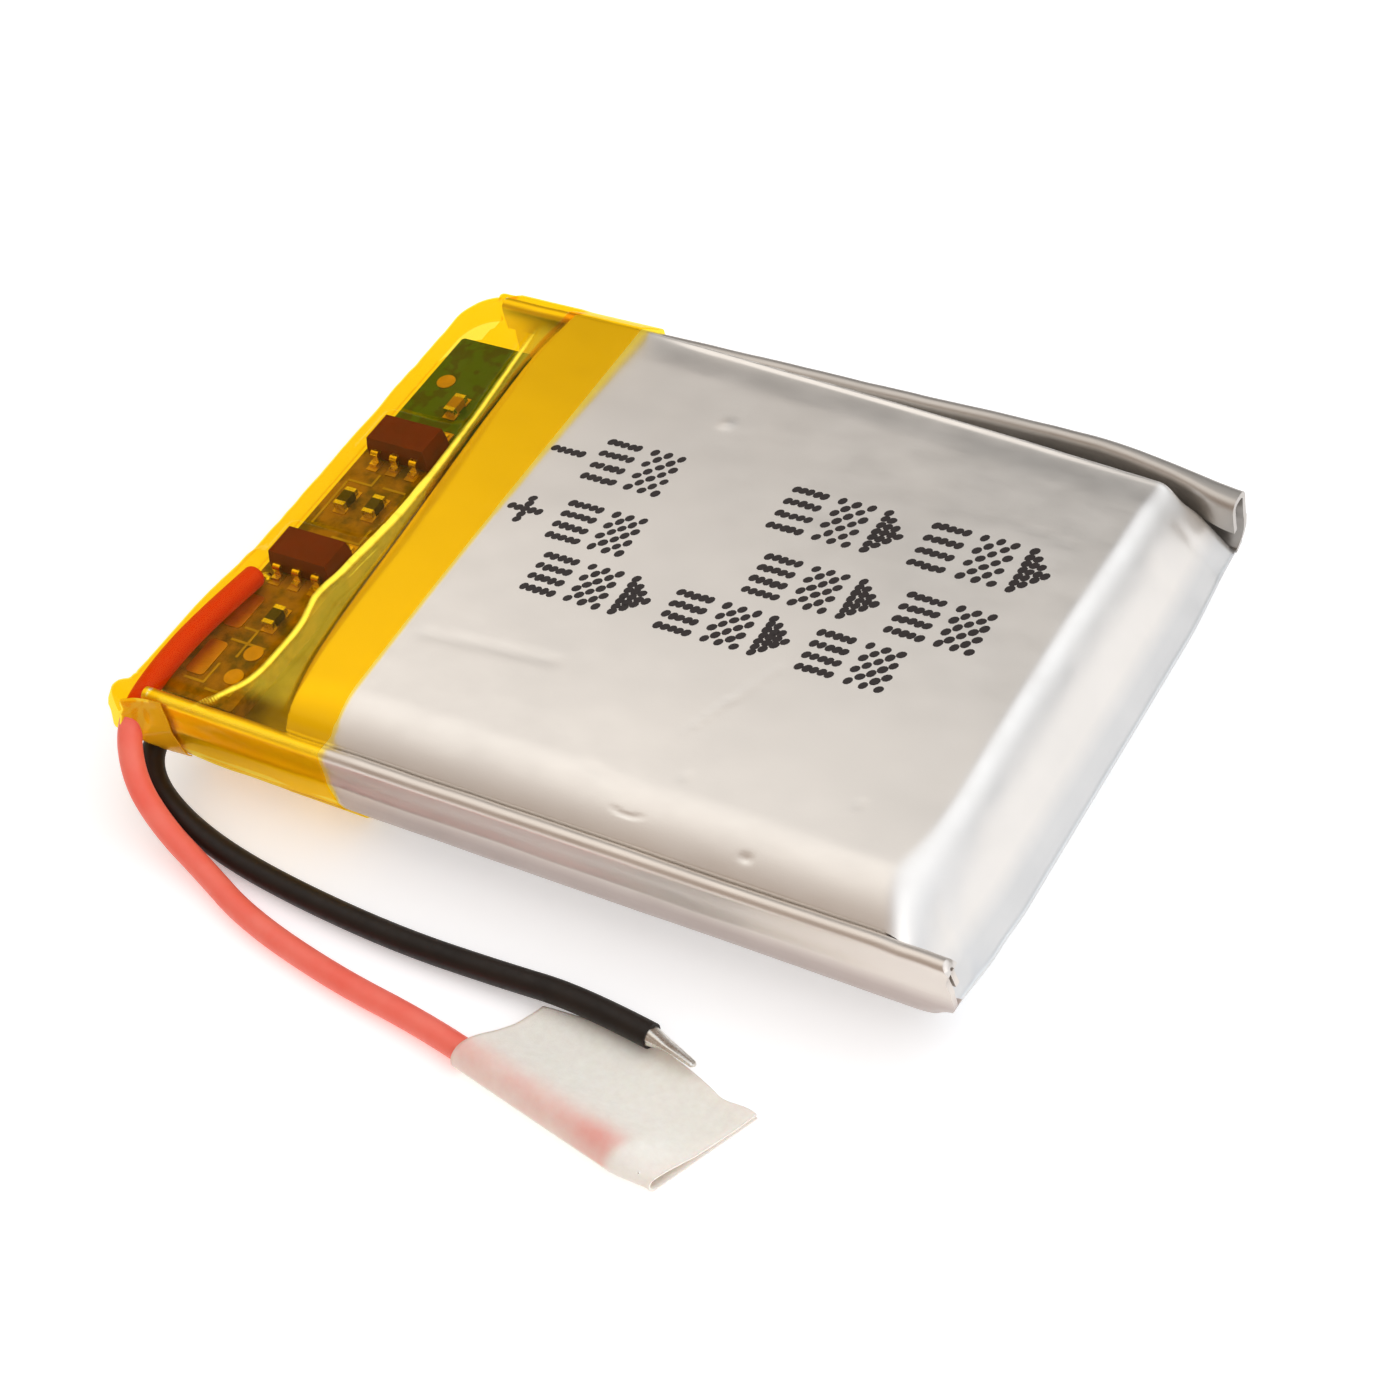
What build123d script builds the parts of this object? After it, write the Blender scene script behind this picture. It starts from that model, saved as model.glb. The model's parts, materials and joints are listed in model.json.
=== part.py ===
"""A single-cell lithium polymer pack for small models: pouch, winding, protection board and leads.

Frame: millimetres, +Z up, origin at the bottom centre of the pack. +X runs along the length, from
the board end (-X) to the folded end of the pouch (+X). The two leads leave the board end at its
front corner (-X, -Y) and lie on the surface in front of the pack.
"""

import os
from math import pi, radians, tan

from build123d import *

# Overall size of the pack, without its leads.
LENGTH = 35.0
WIDTH = 25.0
HEIGHT = 6.0

# Sheet materials.
TAPE = 0.06  # polyimide tape with its adhesive
FILM = 0.12  # aluminium laminate
SEAL_GAP = 0.20  # fused sealant between the two films of the terrace
PAPER = 0.08  # barley paper

# Pouch.
SEAL_Z = 1.85  # height of the seal plane, below the middle: the upper cup is the deep one
CUP_TOP = HEIGHT - TAPE
CUP_BOTTOM = TAPE
CUP_HALF_WIDTH = 11.7
CUP_START_X = -11.6  # the wall that faces the board
FOLD_X = LENGTH / 2  # the crease at the folded end
SHOULDER_X = 15.9  # where the sloped end face meets the top
SHOULDER_DROP = 0.95
TERRACE_START_X = -15.6
SIDE_ROUND = 1.5  # soft long edges of the deep cup
END_ROUND = 0.9
LOWER_SIDE_ROUND = 0.6
LOWER_END_ROUND = 0.7
LOWER_SHOULDER_DROP = 0.6

# Side seals: a flange folded twice, standing along each side of the cups.
FLANGE = 2 * FILM
FLANGE_OUTER_Y = WIDTH / 2 - TAPE - 0.02 - FLANGE / 2
FLANGE_INNER_Y = FLANGE_OUTER_Y - 0.40
FLANGE_FOOT_Z = SEAL_Z - 0.13
FLANGE_TOP_Z = 4.80
FLANGE_TUCK_Z = 3.50
FLANGE_BEND = 0.18

# Winding: four strips wound flat about an axis along X.
TURNS = 5
ROLL_START_X = -10.2
ROLL_END_X = 14.8
ROLL_CENTRE_Z = 2.775
ROLL_HALF_FLAT = 8.5
ROLL_CORE = 0.12  # half height of the slot in the middle
CATHODE = 0.17
ANODE = 0.15
SEPARATOR = 0.04
STRIP_GAP = 0.0125
WINDING_PITCH = CATHODE + ANODE + 2 * SEPARATOR + 4 * STRIP_GAP
LAST_RUN = 0.9  # share of the last flat run that is wound
ROLL_TAPE = 0.04
ROLL_TAPE_WIDTH = 8.0
ROLL_TAPE_MARGIN = 1.2

# Tabs, from the winding through the terrace seal to the underside of the board.
TAB_WIDTH = 3.0
TAB = 0.08
POSITIVE_TAB_Y = -1.0
NEGATIVE_TAB_Y = 6.0
TAB_FOLD_X = -16.2
TAB_END_X = -13.5
SEALANT_WIDTH = 4.4

# Protection board.
BOARD_X = -14.95
BOARD_Y = -0.5
BOARD_WIDTH = 3.5
BOARD_LENGTH = 21.5
BOARD_BOTTOM = 3.2
BOARD_TOP = 4.0
PAD = 0.035
NICKEL = 0.10
IC_LENGTH = 2.9
IC_WIDTH = 1.6
IC_HEIGHT = 0.98
IC_STANDOFF = 0.05
IC_PITCH = 0.95
PROTECTION_IC_Y = 3.4
MOSFET_IC_Y = -3.5
IC_X = -14.8
PIN_WIDTH = 0.35
PIN = 0.14
PIN_SPAN = 2.6  # tip to tip across the two rows of pins
CHIP_LENGTH = 1.0
CHIP_WIDTH = 0.5
CHIP_HEIGHT = 0.35
CHIP_CAP = 0.2

# Leads: 28 AWG stranded wire.
LEAD_DIAMETER = 0.95
BORE_DIAMETER = 0.48
STRAND_DIAMETER = 0.44
STRAND_STUB = 0.2
RED_TIP_LENGTH = 1.3
BLACK_TIP_LENGTH = 2.0
TIP_START_RADIUS = 0.36
TIP_END_RADIUS = 0.16
RED_ROUTE = [
    (-16.30, -5.30, 4.52),
    (-16.72, -7.90, 4.55),
    (-16.85, -10.50, 4.52),
    (-17.05, -12.90, 3.90),
    (-16.45, -14.65, 2.45),
    (-14.75, -15.55, 1.30),
    (-12.20, -16.20, 0.72),
    (-9.20, -17.30, 0.55),
    (-4.60, -18.25, 0.50),
    (0.00, -18.75, 0.55),
    (4.40, -19.70, 0.60),
    (8.95, -20.62, 0.60),
]
BLACK_ROUTE = [
    (-15.60, -3.90, 2.65),
    (-16.25, -6.40, 2.65),
    (-16.75, -9.60, 2.50),
    (-17.00, -12.30, 2.05),
    (-16.45, -13.95, 1.45),
    (-14.60, -14.80, 0.85),
    (-11.60, -15.10, 0.50),
    (-7.60, -15.62, 0.50),
    (-3.00, -15.90, 0.52),
    (1.20, -15.82, 0.62),
    (4.60, -15.75, 0.86),
    (7.70, -16.15, 0.86),
]

# Paper tape flag folded round the end of the red lead.
FLAG = 0.12
FLAG_THICKNESS = 0.30  # the two layers, stuck together
FLAG_CORNERS = [(1.80, -19.14), (2.55, -16.10), (12.20, -17.10), (10.60, -20.95)]
FLAG_FOLD_Z = 0.60

# Polyimide tape: a strip folded over the board end, and a band round the pack.
END_TAPE_HALF_WIDTH = 11.2
END_TAPE_START_X = -12.4
END_TAPE_TOP_Z = 5.17
END_TAPE_BOTTOM_Z = 1.55
END_TAPE_NOSE = 0.8
BAND_SECTIONS = [  # x, then (y, z) down one side of the band's outline
    (-15.40, [(11.60, 5.27), (12.50, 5.00), (12.50, 1.45), (12.05, 1.42), (11.40, 1.40)]),
    (-12.70, [(11.60, 5.27), (12.50, 5.00), (12.50, 1.45), (12.05, 1.20), (11.40, 1.00)]),
    (-11.30, [(10.70, 6.00), (12.50, 5.00), (12.50, 1.45), (12.05, 0.60), (11.40, 0.00)]),
    (-7.90, [(10.70, 6.00), (12.50, 5.00), (12.50, 1.45), (12.05, 0.60), (11.40, 0.00)]),
]


def save(part, name):
    """Label a finished piece and write it under its own name."""
    part.label = name
    export_step(part, f"parts/{name}.step")


# ---------------------------------------------------------------- pouch


def cup_side_sketch(top, shoulder_drop, inset):
    """Side view of a cup on the XZ plane, shrunk by inset, open towards the seal plane."""
    sign = 1 if top > SEAL_Z else -1
    seal_z = SEAL_Z - sign * inset
    top_z = top - sign * inset
    shoulder_z = top - sign * shoulder_drop
    with BuildSketch(Plane.XZ) as side:
        with BuildLine():
            Polyline(
                (CUP_START_X + inset, seal_z),
                (CUP_START_X + inset, top_z),
                (SHOULDER_X - shoulder_drop - inset, top_z),
                (SHOULDER_X - inset, shoulder_z),
                (FOLD_X - inset, seal_z),
                close=True,
            )
        make_face()
        far_corners = side.vertices().filter_by(lambda v: abs(v.Y - seal_z) > 0.5)
        fillet(far_corners, (END_ROUND if sign > 0 else LOWER_END_ROUND) - inset)
    return side.sketch


def cup_end_sketch(top, corner_round, inset):
    """End view of a cup on the YZ plane, shrunk by inset, with soft far corners."""
    sign = 1 if top > SEAL_Z else -1
    seal_z = SEAL_Z - sign * inset
    top_z = top - sign * inset
    half = CUP_HALF_WIDTH - inset
    with BuildSketch(Plane.YZ.offset(-LENGTH)) as end:
        with Locations((0, (top_z + seal_z) / 2)):
            Rectangle(2 * half, abs(top_z - seal_z))
        far_corners = end.vertices().filter_by(lambda v: abs(v.Y - seal_z) > 0.5)
        fillet(far_corners, corner_round - inset)
    return end.sketch


def cup_block(top, shoulder_drop, corner_round, inset=0.0):
    """The solid volume of a cup: its side view crossed with its end view."""
    side_sketch = cup_side_sketch(top, shoulder_drop, inset)
    end_sketch = cup_end_sketch(top, corner_round, inset)
    with BuildPart() as block:
        extrude(side_sketch, amount=WIDTH, both=True)
        extrude(end_sketch, amount=2 * LENGTH, mode=Mode.INTERSECT)
    return block.part


def terrace_sketch(z):
    """The outline of the terrace, which the board lies over, reaching into the wall of the cups."""
    length = CUP_START_X + FILM - TERRACE_START_X
    with BuildSketch(Plane.XY.offset(z)) as terrace:
        with Locations((TERRACE_START_X + length / 2, 0)):
            Rectangle(length, 2 * CUP_HALF_WIDTH)
    return terrace.sketch


def make_upper_cup():
    """The deep half of the pouch, with the sloped face of the folded end."""
    outside = cup_block(CUP_TOP, SHOULDER_DROP, SIDE_ROUND)
    inside = cup_block(CUP_TOP, SHOULDER_DROP, SIDE_ROUND, FILM)
    terrace = terrace_sketch(SEAL_Z - SEAL_GAP / 2)
    with BuildPart() as upper_cup:
        add(outside)
        add(inside, mode=Mode.SUBTRACT)
        extrude(terrace, amount=SEAL_GAP + FILM)
        extrude(terrace, amount=SEAL_GAP, mode=Mode.SUBTRACT)
    save(upper_cup.part, "upper_cup")


def make_lower_cup():
    """The shallow half of the pouch."""
    outside = cup_block(CUP_BOTTOM, LOWER_SHOULDER_DROP, LOWER_SIDE_ROUND)
    inside = cup_block(CUP_BOTTOM, LOWER_SHOULDER_DROP, LOWER_SIDE_ROUND, FILM)
    terrace = terrace_sketch(SEAL_Z + SEAL_GAP / 2)
    with BuildPart() as lower_cup:
        add(outside)
        add(inside, mode=Mode.SUBTRACT)
        extrude(terrace, amount=-SEAL_GAP - FILM)
        extrude(terrace, amount=-SEAL_GAP, mode=Mode.SUBTRACT)
    save(lower_cup.part, "lower_cup")


def make_side_seal(name, side):
    """A side flange: out from the seal plane, up the side, and folded back down inside itself."""
    with BuildPart() as side_seal:
        with BuildSketch(Plane.YZ.offset(TERRACE_START_X + 0.1)):
            with BuildLine():
                FilletPolyline(
                    (side * CUP_HALF_WIDTH, FLANGE_FOOT_Z),
                    (side * FLANGE_OUTER_Y, FLANGE_FOOT_Z),
                    (side * FLANGE_OUTER_Y, FLANGE_TOP_Z),
                    (side * FLANGE_INNER_Y, FLANGE_TOP_Z),
                    (side * FLANGE_INNER_Y, FLANGE_TUCK_Z),
                    radius=FLANGE_BEND,
                )
            trace(line_width=FLANGE)
        extrude(amount=FOLD_X - TERRACE_START_X - 0.1)
    save(side_seal.part, name)


def make_terrace_seal():
    """The fused sealant between the films of the terrace, open where the tabs pass."""
    terrace = terrace_sketch(SEAL_Z - SEAL_GAP / 2)
    with BuildPart() as terrace_seal:
        extrude(terrace, amount=SEAL_GAP)
        with Locations((BOARD_X, POSITIVE_TAB_Y, SEAL_Z), (BOARD_X, NEGATIVE_TAB_Y, SEAL_Z)):
            Box(LENGTH / 2, SEALANT_WIDTH, SEAL_GAP, mode=Mode.SUBTRACT)
    save(terrace_seal.part, "terrace_seal")


# -------------------------------------------------------------- winding


def flat_spiral(first_radius):
    """Centre line of one wound strip: flat runs joined by half turns that grow by the pitch."""
    radius = first_radius
    flat = ROLL_HALF_FLAT
    for _ in range(TURNS):
        Line((-flat, radius), (flat, radius))
        ThreePointArc((flat, radius), (flat + radius, 0), (flat, -radius))
        Line((flat, -radius), (-flat, -radius))
        grown = radius + WINDING_PITCH
        middle = (grown - radius) / 2
        ThreePointArc((-flat, -radius), (-flat - radius - middle, middle), (-flat, grown))
        radius = grown
    Line((-flat, radius), (flat * LAST_RUN, radius))


def make_wound_strip(name, thickness, first_radius, overhang):
    """One strip of the winding; the separators overhang the electrodes at both ends."""
    start_x = ROLL_START_X + 0.6 - overhang
    end_x = ROLL_END_X - 0.6 + overhang
    with BuildPart() as strip:
        with BuildSketch(Plane(origin=(start_x, 0, ROLL_CENTRE_Z), x_dir=(0, 1, 0), z_dir=(1, 0, 0))):
            with BuildLine():
                flat_spiral(first_radius)
            trace(line_width=thickness)
        extrude(amount=end_x - start_x)
    save(strip.part, name)


def make_winding():
    """The wound stack, from the middle outwards: cathode, separator, anode, separator."""
    radius = ROLL_CORE + CATHODE / 2
    make_wound_strip("cathode_strip", CATHODE, radius, 0.0)
    radius += CATHODE / 2 + STRIP_GAP + SEPARATOR / 2
    make_wound_strip("inner_separator", SEPARATOR, radius, 0.6)
    radius += SEPARATOR / 2 + STRIP_GAP + ANODE / 2
    make_wound_strip("anode_strip", ANODE, radius, 0.3)
    radius += ANODE / 2 + STRIP_GAP + SEPARATOR / 2
    make_wound_strip("outer_separator", SEPARATOR, radius, 0.6)


def make_roll_tape():
    """The strip that holds the end of the winding down."""
    roll_top = ROLL_CENTRE_Z + ROLL_CORE + (TURNS + 1) * WINDING_PITCH
    centre_y = ROLL_HALF_FLAT * LAST_RUN - ROLL_TAPE_WIDTH / 2
    with BuildPart() as roll_tape:
        with BuildSketch(Plane.XY.offset(roll_top)):
            with Locations(((ROLL_START_X + ROLL_END_X) / 2, centre_y)):
                Rectangle(ROLL_END_X - ROLL_START_X - ROLL_TAPE_MARGIN, ROLL_TAPE_WIDTH)
        extrude(amount=ROLL_TAPE)
    save(roll_tape.part, "winding_tape")


# ----------------------------------------------------------------- tabs


def make_tab(name, y):
    """A tab foil: out of the winding, through the terrace seal, up, and back under the board."""
    nickel_z = BOARD_BOTTOM - NICKEL - TAB / 2
    with BuildPart() as tab:
        with BuildSketch(Plane.XZ.offset(-y)):
            with BuildLine():
                FilletPolyline(
                    (ROLL_START_X, ROLL_CENTRE_Z),
                    (ROLL_START_X - 0.6, ROLL_CENTRE_Z),
                    (CUP_START_X + 0.35, SEAL_Z),
                    (TAB_FOLD_X, SEAL_Z),
                    (TAB_FOLD_X, nickel_z),
                    (TAB_END_X, nickel_z),
                    radius=0.15,
                )
            trace(line_width=TAB)
        extrude(amount=TAB_WIDTH / 2, both=True)
    save(tab.part, name)


def make_tab_sealant(name, y):
    """The two films of tab sealant, fused into one round the tab inside the terrace."""
    length = CUP_START_X + FILM - TERRACE_START_X + 0.2
    with BuildPart() as sealant:
        with Locations((TERRACE_START_X - 0.2 + length / 2, y, SEAL_Z)):
            Box(length, SEALANT_WIDTH, SEAL_GAP)
            Box(length, TAB_WIDTH, TAB, mode=Mode.SUBTRACT)
    save(sealant.part, name)


def make_nickel_strips():
    """Nickel plates on the underside of the board, which the tabs are welded to."""
    with BuildPart() as nickel_strips:
        with BuildSketch(Plane.XY.offset(BOARD_BOTTOM - NICKEL)):
            with Locations((BOARD_X, POSITIVE_TAB_Y), (BOARD_X, NEGATIVE_TAB_Y)):
                RectangleRounded(BOARD_WIDTH - 0.5, TAB_WIDTH + 0.4, 0.2)
        extrude(amount=NICKEL)
    save(nickel_strips.part, "nickel_strips")


def make_insulating_paper():
    """Barley paper on the terrace, under the board."""
    paper_z = SEAL_Z + SEAL_GAP / 2 + FILM
    with BuildPart() as paper:
        with BuildSketch(Plane.XY.offset(paper_z)):
            with Locations(((TERRACE_START_X + CUP_START_X) / 2, 0)):
                Rectangle(CUP_START_X - TERRACE_START_X - 0.4, 2 * CUP_HALF_WIDTH - 1.6)
        extrude(amount=PAPER)
    save(paper.part, "insulating_paper")


# ---------------------------------------------------------------- board

IC_CENTRES = [(IC_X, PROTECTION_IC_Y), (IC_X, MOSFET_IC_Y)]
RESISTOR_CENTRES = [(-15.6, 0.0), (-14.2, 0.0), (-14.4, -6.6)]
CAPACITOR_CENTRES = [(-14.4, 6.3)]
CHIP_CENTRES = RESISTOR_CENTRES + CAPACITOR_CENTRES
LEAD_PADS = [(-16.0, -6.6), (-15.9, -9.2)]
TEST_PADS = [(-14.2, -8.4), (-14.2, -9.7), (-15.8, 7.6)]


def pin_offsets():
    """Each pin of an IC: its place along the body and the side that it stands on."""
    return [(place * IC_PITCH, side) for side in (-1, 1) for place in (-1, 0, 1)]


def make_circuit_board():
    with BuildPart() as circuit_board:
        with BuildSketch(Plane.XY.offset(BOARD_BOTTOM)):
            with Locations((BOARD_X, BOARD_Y)):
                RectangleRounded(BOARD_WIDTH, BOARD_LENGTH, 0.15)
        extrude(amount=BOARD_TOP - BOARD_BOTTOM)
    save(circuit_board.part, "circuit_board")


def make_copper_pads():
    """Plated pads under the pins and the chips, for the leads and for testing."""
    pin_pads = [
        (x + along, y + side * (PIN_SPAN / 2 - 0.12)) for x, y in IC_CENTRES for along, side in pin_offsets()
    ]
    chip_pads = [(x, y + side * (CHIP_LENGTH / 2 - 0.05)) for x, y in CHIP_CENTRES for side in (-1, 1)]
    with BuildPart() as copper_pads:
        with BuildSketch(Plane.XY.offset(BOARD_TOP)):
            with Locations(*pin_pads):
                Rectangle(0.5, 0.65)
            with Locations(*chip_pads):
                Rectangle(0.6, 0.45)
            with Locations(*LEAD_PADS):
                RectangleRounded(0.9, 1.8, 0.2)
            with Locations(*TEST_PADS):
                Circle(0.4)
        extrude(amount=PAD)
    save(copper_pads.part, "copper_pads")


def make_ic(name, y):
    """A small six-pin IC body with drafted sides."""
    with BuildPart() as ic:
        with BuildSketch(Plane.XY.offset(BOARD_TOP + IC_STANDOFF)):
            with Locations((IC_X, y)):
                Rectangle(IC_LENGTH, IC_WIDTH)
        extrude(amount=IC_HEIGHT / 2)
        top_face = ic.faces().sort_by(Axis.Z)[-1]
        extrude(top_face, amount=IC_HEIGHT / 2, taper=8)
    save(ic.part, name)


def make_ic_pins():
    """The gull-wing pins of both ICs."""
    pin_z = BOARD_TOP + IC_STANDOFF + IC_HEIGHT / 2
    foot_z = BOARD_TOP + PAD + PIN / 2
    with BuildPart() as ic_pins:
        for x, y in IC_CENTRES:
            for along, side in pin_offsets():
                with BuildSketch(Plane.YZ.offset(x + along)):
                    with BuildLine():
                        FilletPolyline(
                            (y + side * IC_WIDTH / 2, pin_z),
                            (y + side * (IC_WIDTH / 2 + 0.22), pin_z),
                            (y + side * (IC_WIDTH / 2 + 0.22), foot_z),
                            (y + side * PIN_SPAN / 2, foot_z),
                            radius=0.1,
                        )
                    trace(line_width=PIN)
                extrude(amount=PIN_WIDTH / 2, both=True)
    save(ic_pins.part, "ic_pins")


def make_chips(name, centres):
    """The ceramic bodies of chip resistors or capacitors, between their metal ends."""
    with BuildPart() as chips:
        with Locations(*[(x, y, BOARD_TOP + PAD + CHIP_HEIGHT / 2) for x, y in centres]):
            Box(CHIP_WIDTH, CHIP_LENGTH - 2 * CHIP_CAP, CHIP_HEIGHT)
    save(chips.part, name)


def make_chip_terminations():
    """The tinned ends of every chip."""
    reach = (CHIP_LENGTH - CHIP_CAP) / 2
    ends = [
        (x, y + side * reach, BOARD_TOP + PAD + CHIP_HEIGHT / 2) for x, y in CHIP_CENTRES for side in (-1, 1)
    ]
    with BuildPart() as chip_terminations:
        with Locations(*ends):
            Box(CHIP_WIDTH, CHIP_CAP, CHIP_HEIGHT)
    save(chip_terminations.part, "chip_terminations")


def make_solder_joints():
    """Solder domes at the ends of the two leads, one on each face of the board."""
    radius = 0.27
    with BuildPart() as solder_joints:
        with Locations((RED_ROUTE[0][0] + 0.1, RED_ROUTE[0][1] + 0.5, BOARD_TOP)):
            Sphere(radius)
        with Locations((BLACK_ROUTE[0][0], BLACK_ROUTE[0][1] + 0.55, BOARD_BOTTOM)):
            Sphere(radius)
        with Locations((BOARD_X, BOARD_Y, (BOARD_BOTTOM + BOARD_TOP) / 2)):
            Box(BOARD_WIDTH, BOARD_LENGTH, BOARD_TOP - BOARD_BOTTOM, mode=Mode.SUBTRACT)
    save(solder_joints.part, "solder_joints")


# ---------------------------------------------------------------- leads


def bend_radii(points):
    """The largest arc for each corner of a route: 0.45 of its shorter run over tan(half the turn)."""
    radii = []
    for before, corner, after in zip(points, points[1:], points[2:]):
        run_in = Vector(*corner) - Vector(*before)
        run_out = Vector(*after) - Vector(*corner)
        half_turn = radians(run_in.get_angle(run_out)) / 2
        radii.append(0.45 * min(run_in.length, run_out.length) / tan(half_turn))
    return radii


def moved_back(points, distance):
    """The same route, begun a little earlier along its first run."""
    first = Vector(*points[0])
    direction = (Vector(*points[1]) - first).normalized()
    start = first - direction * distance
    return [(start.X, start.Y, start.Z)] + points[1:]


def swept_wire(points, outer_diameter, bore_diameter=0.0):
    """A round wire or tube along a route."""
    with BuildPart() as wire:
        with BuildLine() as route:
            FilletPolyline(*points, radius=bend_radii(points))
        path = route.wire()
        with BuildSketch(Plane(origin=path @ 0, z_dir=path % 0)):
            Circle(outer_diameter / 2)
            if bore_diameter:
                Circle(bore_diameter / 2, mode=Mode.SUBTRACT)
        sweep(path=path)
    section = pi * (outer_diameter**2 - bore_diameter**2) / 4
    filled = wire.part.volume / (section * path.length)
    print(f"length {path.length:.2f}, volume over section times length {filled:.4f}")
    return wire.part


def make_lead(colour, points, tip_length):
    """A lead in three pieces: its insulation, the strands inside, and the tinned tip."""
    print(colour, "radii", [round(radius, 1) for radius in bend_radii(points)])
    save(swept_wire(points, LEAD_DIAMETER, BORE_DIAMETER), f"{colour}_insulation")
    save(swept_wire(moved_back(points, STRAND_STUB), STRAND_DIAMETER), f"{colour}_strands")
    end = Vector(*points[-1])
    direction = (end - Vector(*points[-2])).normalized()
    with BuildPart() as tip:
        with BuildSketch(Plane(origin=end, z_dir=direction)):
            Circle(TIP_START_RADIUS)
        with BuildSketch(Plane(origin=end + direction * tip_length, z_dir=direction)):
            Circle(TIP_END_RADIUS)
        loft()
    save(tip.part, f"{colour}_tip")


def make_flag():
    """The paper tape flag: two layers stuck together, with the lead in their fold."""
    first, last = RED_ROUTE[-2], RED_ROUTE[-1]
    slope = (last[1] - first[1]) / (last[0] - first[0])
    fold_ends = [(x, first[1] + slope * (x - first[0]), FLAG_FOLD_Z) for x, _ in (FLAG_CORNERS[0], FLAG_CORNERS[-1])]
    fold_direction = Vector(*fold_ends[1]) - Vector(*fold_ends[0])
    lead = swept_wire(RED_ROUTE, LEAD_DIAMETER)
    with BuildPart() as flag:
        with BuildSketch(Plane(origin=fold_ends[0], z_dir=fold_direction)):
            Circle(LEAD_DIAMETER / 2 + FLAG)
        extrude(amount=fold_direction.length)
        with BuildSketch():
            with BuildLine():
                Polyline(*FLAG_CORNERS, close=True)
            make_face()
        extrude(amount=FLAG_THICKNESS)
        add(lead, mode=Mode.SUBTRACT)
        with BuildSketch(Plane(origin=last, z_dir=fold_direction)):
            Circle(TIP_START_RADIUS + 0.01)
        extrude(amount=RED_TIP_LENGTH + 0.05, mode=Mode.SUBTRACT)
    save(flag.part, "tip_tape_flag")


# ----------------------------------------------------------------- tape


def band_block(inset):
    """The solid inside the band's outline, shrunk by inset."""
    with BuildPart() as block:
        for x, side_points in BAND_SECTIONS:
            mirrored = [(-y, z) for y, z in reversed(side_points)]
            with BuildSketch(Plane.YZ.offset(x)):
                with BuildLine():
                    Polyline(*side_points, *mirrored, close=True)
                make_face()
                if inset:
                    offset(amount=-inset, kind=Kind.INTERSECTION, mode=Mode.REPLACE)
        loft(ruled=True)
    return block.part


def make_tape_band():
    """The band of tape round the pack: snug on the cups, lower where it crosses the board."""
    outside = band_block(0.0)
    inside = band_block(TAPE)
    with BuildPart() as tape_band:
        add(outside)
        add(inside, mode=Mode.SUBTRACT)
    save(tape_band.part, "tape_band")


def make_end_tape():
    """The strip of tape folded over the board end, under the band."""
    nose_x = -LENGTH / 2 + TAPE / 2
    with BuildPart() as end_tape:
        with BuildSketch(Plane.XZ):
            with BuildLine():
                FilletPolyline(
                    (END_TAPE_START_X, END_TAPE_TOP_Z),
                    (nose_x, END_TAPE_TOP_Z),
                    (nose_x, END_TAPE_BOTTOM_Z),
                    (END_TAPE_START_X, END_TAPE_BOTTOM_Z),
                    radius=END_TAPE_NOSE,
                )
            trace(line_width=TAPE)
        extrude(amount=END_TAPE_HALF_WIDTH, both=True)
    save(end_tape.part, "end_tape")


def main():
    os.makedirs("parts", exist_ok=True)
    make_upper_cup()
    make_lower_cup()
    make_side_seal("side_seal_front", -1)
    make_side_seal("side_seal_back", 1)
    make_terrace_seal()
    make_winding()
    make_roll_tape()
    make_tab("positive_tab", POSITIVE_TAB_Y)
    make_tab("negative_tab", NEGATIVE_TAB_Y)
    make_tab_sealant("positive_tab_sealant", POSITIVE_TAB_Y)
    make_tab_sealant("negative_tab_sealant", NEGATIVE_TAB_Y)
    make_nickel_strips()
    make_insulating_paper()
    make_circuit_board()
    make_copper_pads()
    make_ic("protection_ic", PROTECTION_IC_Y)
    make_ic("mosfet_ic", MOSFET_IC_Y)
    make_ic_pins()
    make_chips("resistors", RESISTOR_CENTRES)
    make_chips("capacitor", CAPACITOR_CENTRES)
    make_chip_terminations()
    make_solder_joints()
    make_lead("red", RED_ROUTE, RED_TIP_LENGTH)
    make_lead("black", BLACK_ROUTE, BLACK_TIP_LENGTH)
    make_flag()
    make_tape_band()
    make_end_tape()


main()
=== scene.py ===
"""The looks of a small pouch-cell battery pack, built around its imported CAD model.

Lengths are written in millimetres and turned into metres where a mesh or a curve is made.
The frame is the pack's own: +X from the board end to the folded end, +Y to the back, +Z up.
"""

import json
import math

import bpy
import numpy as np
from mathutils import Matrix, Vector

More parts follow.
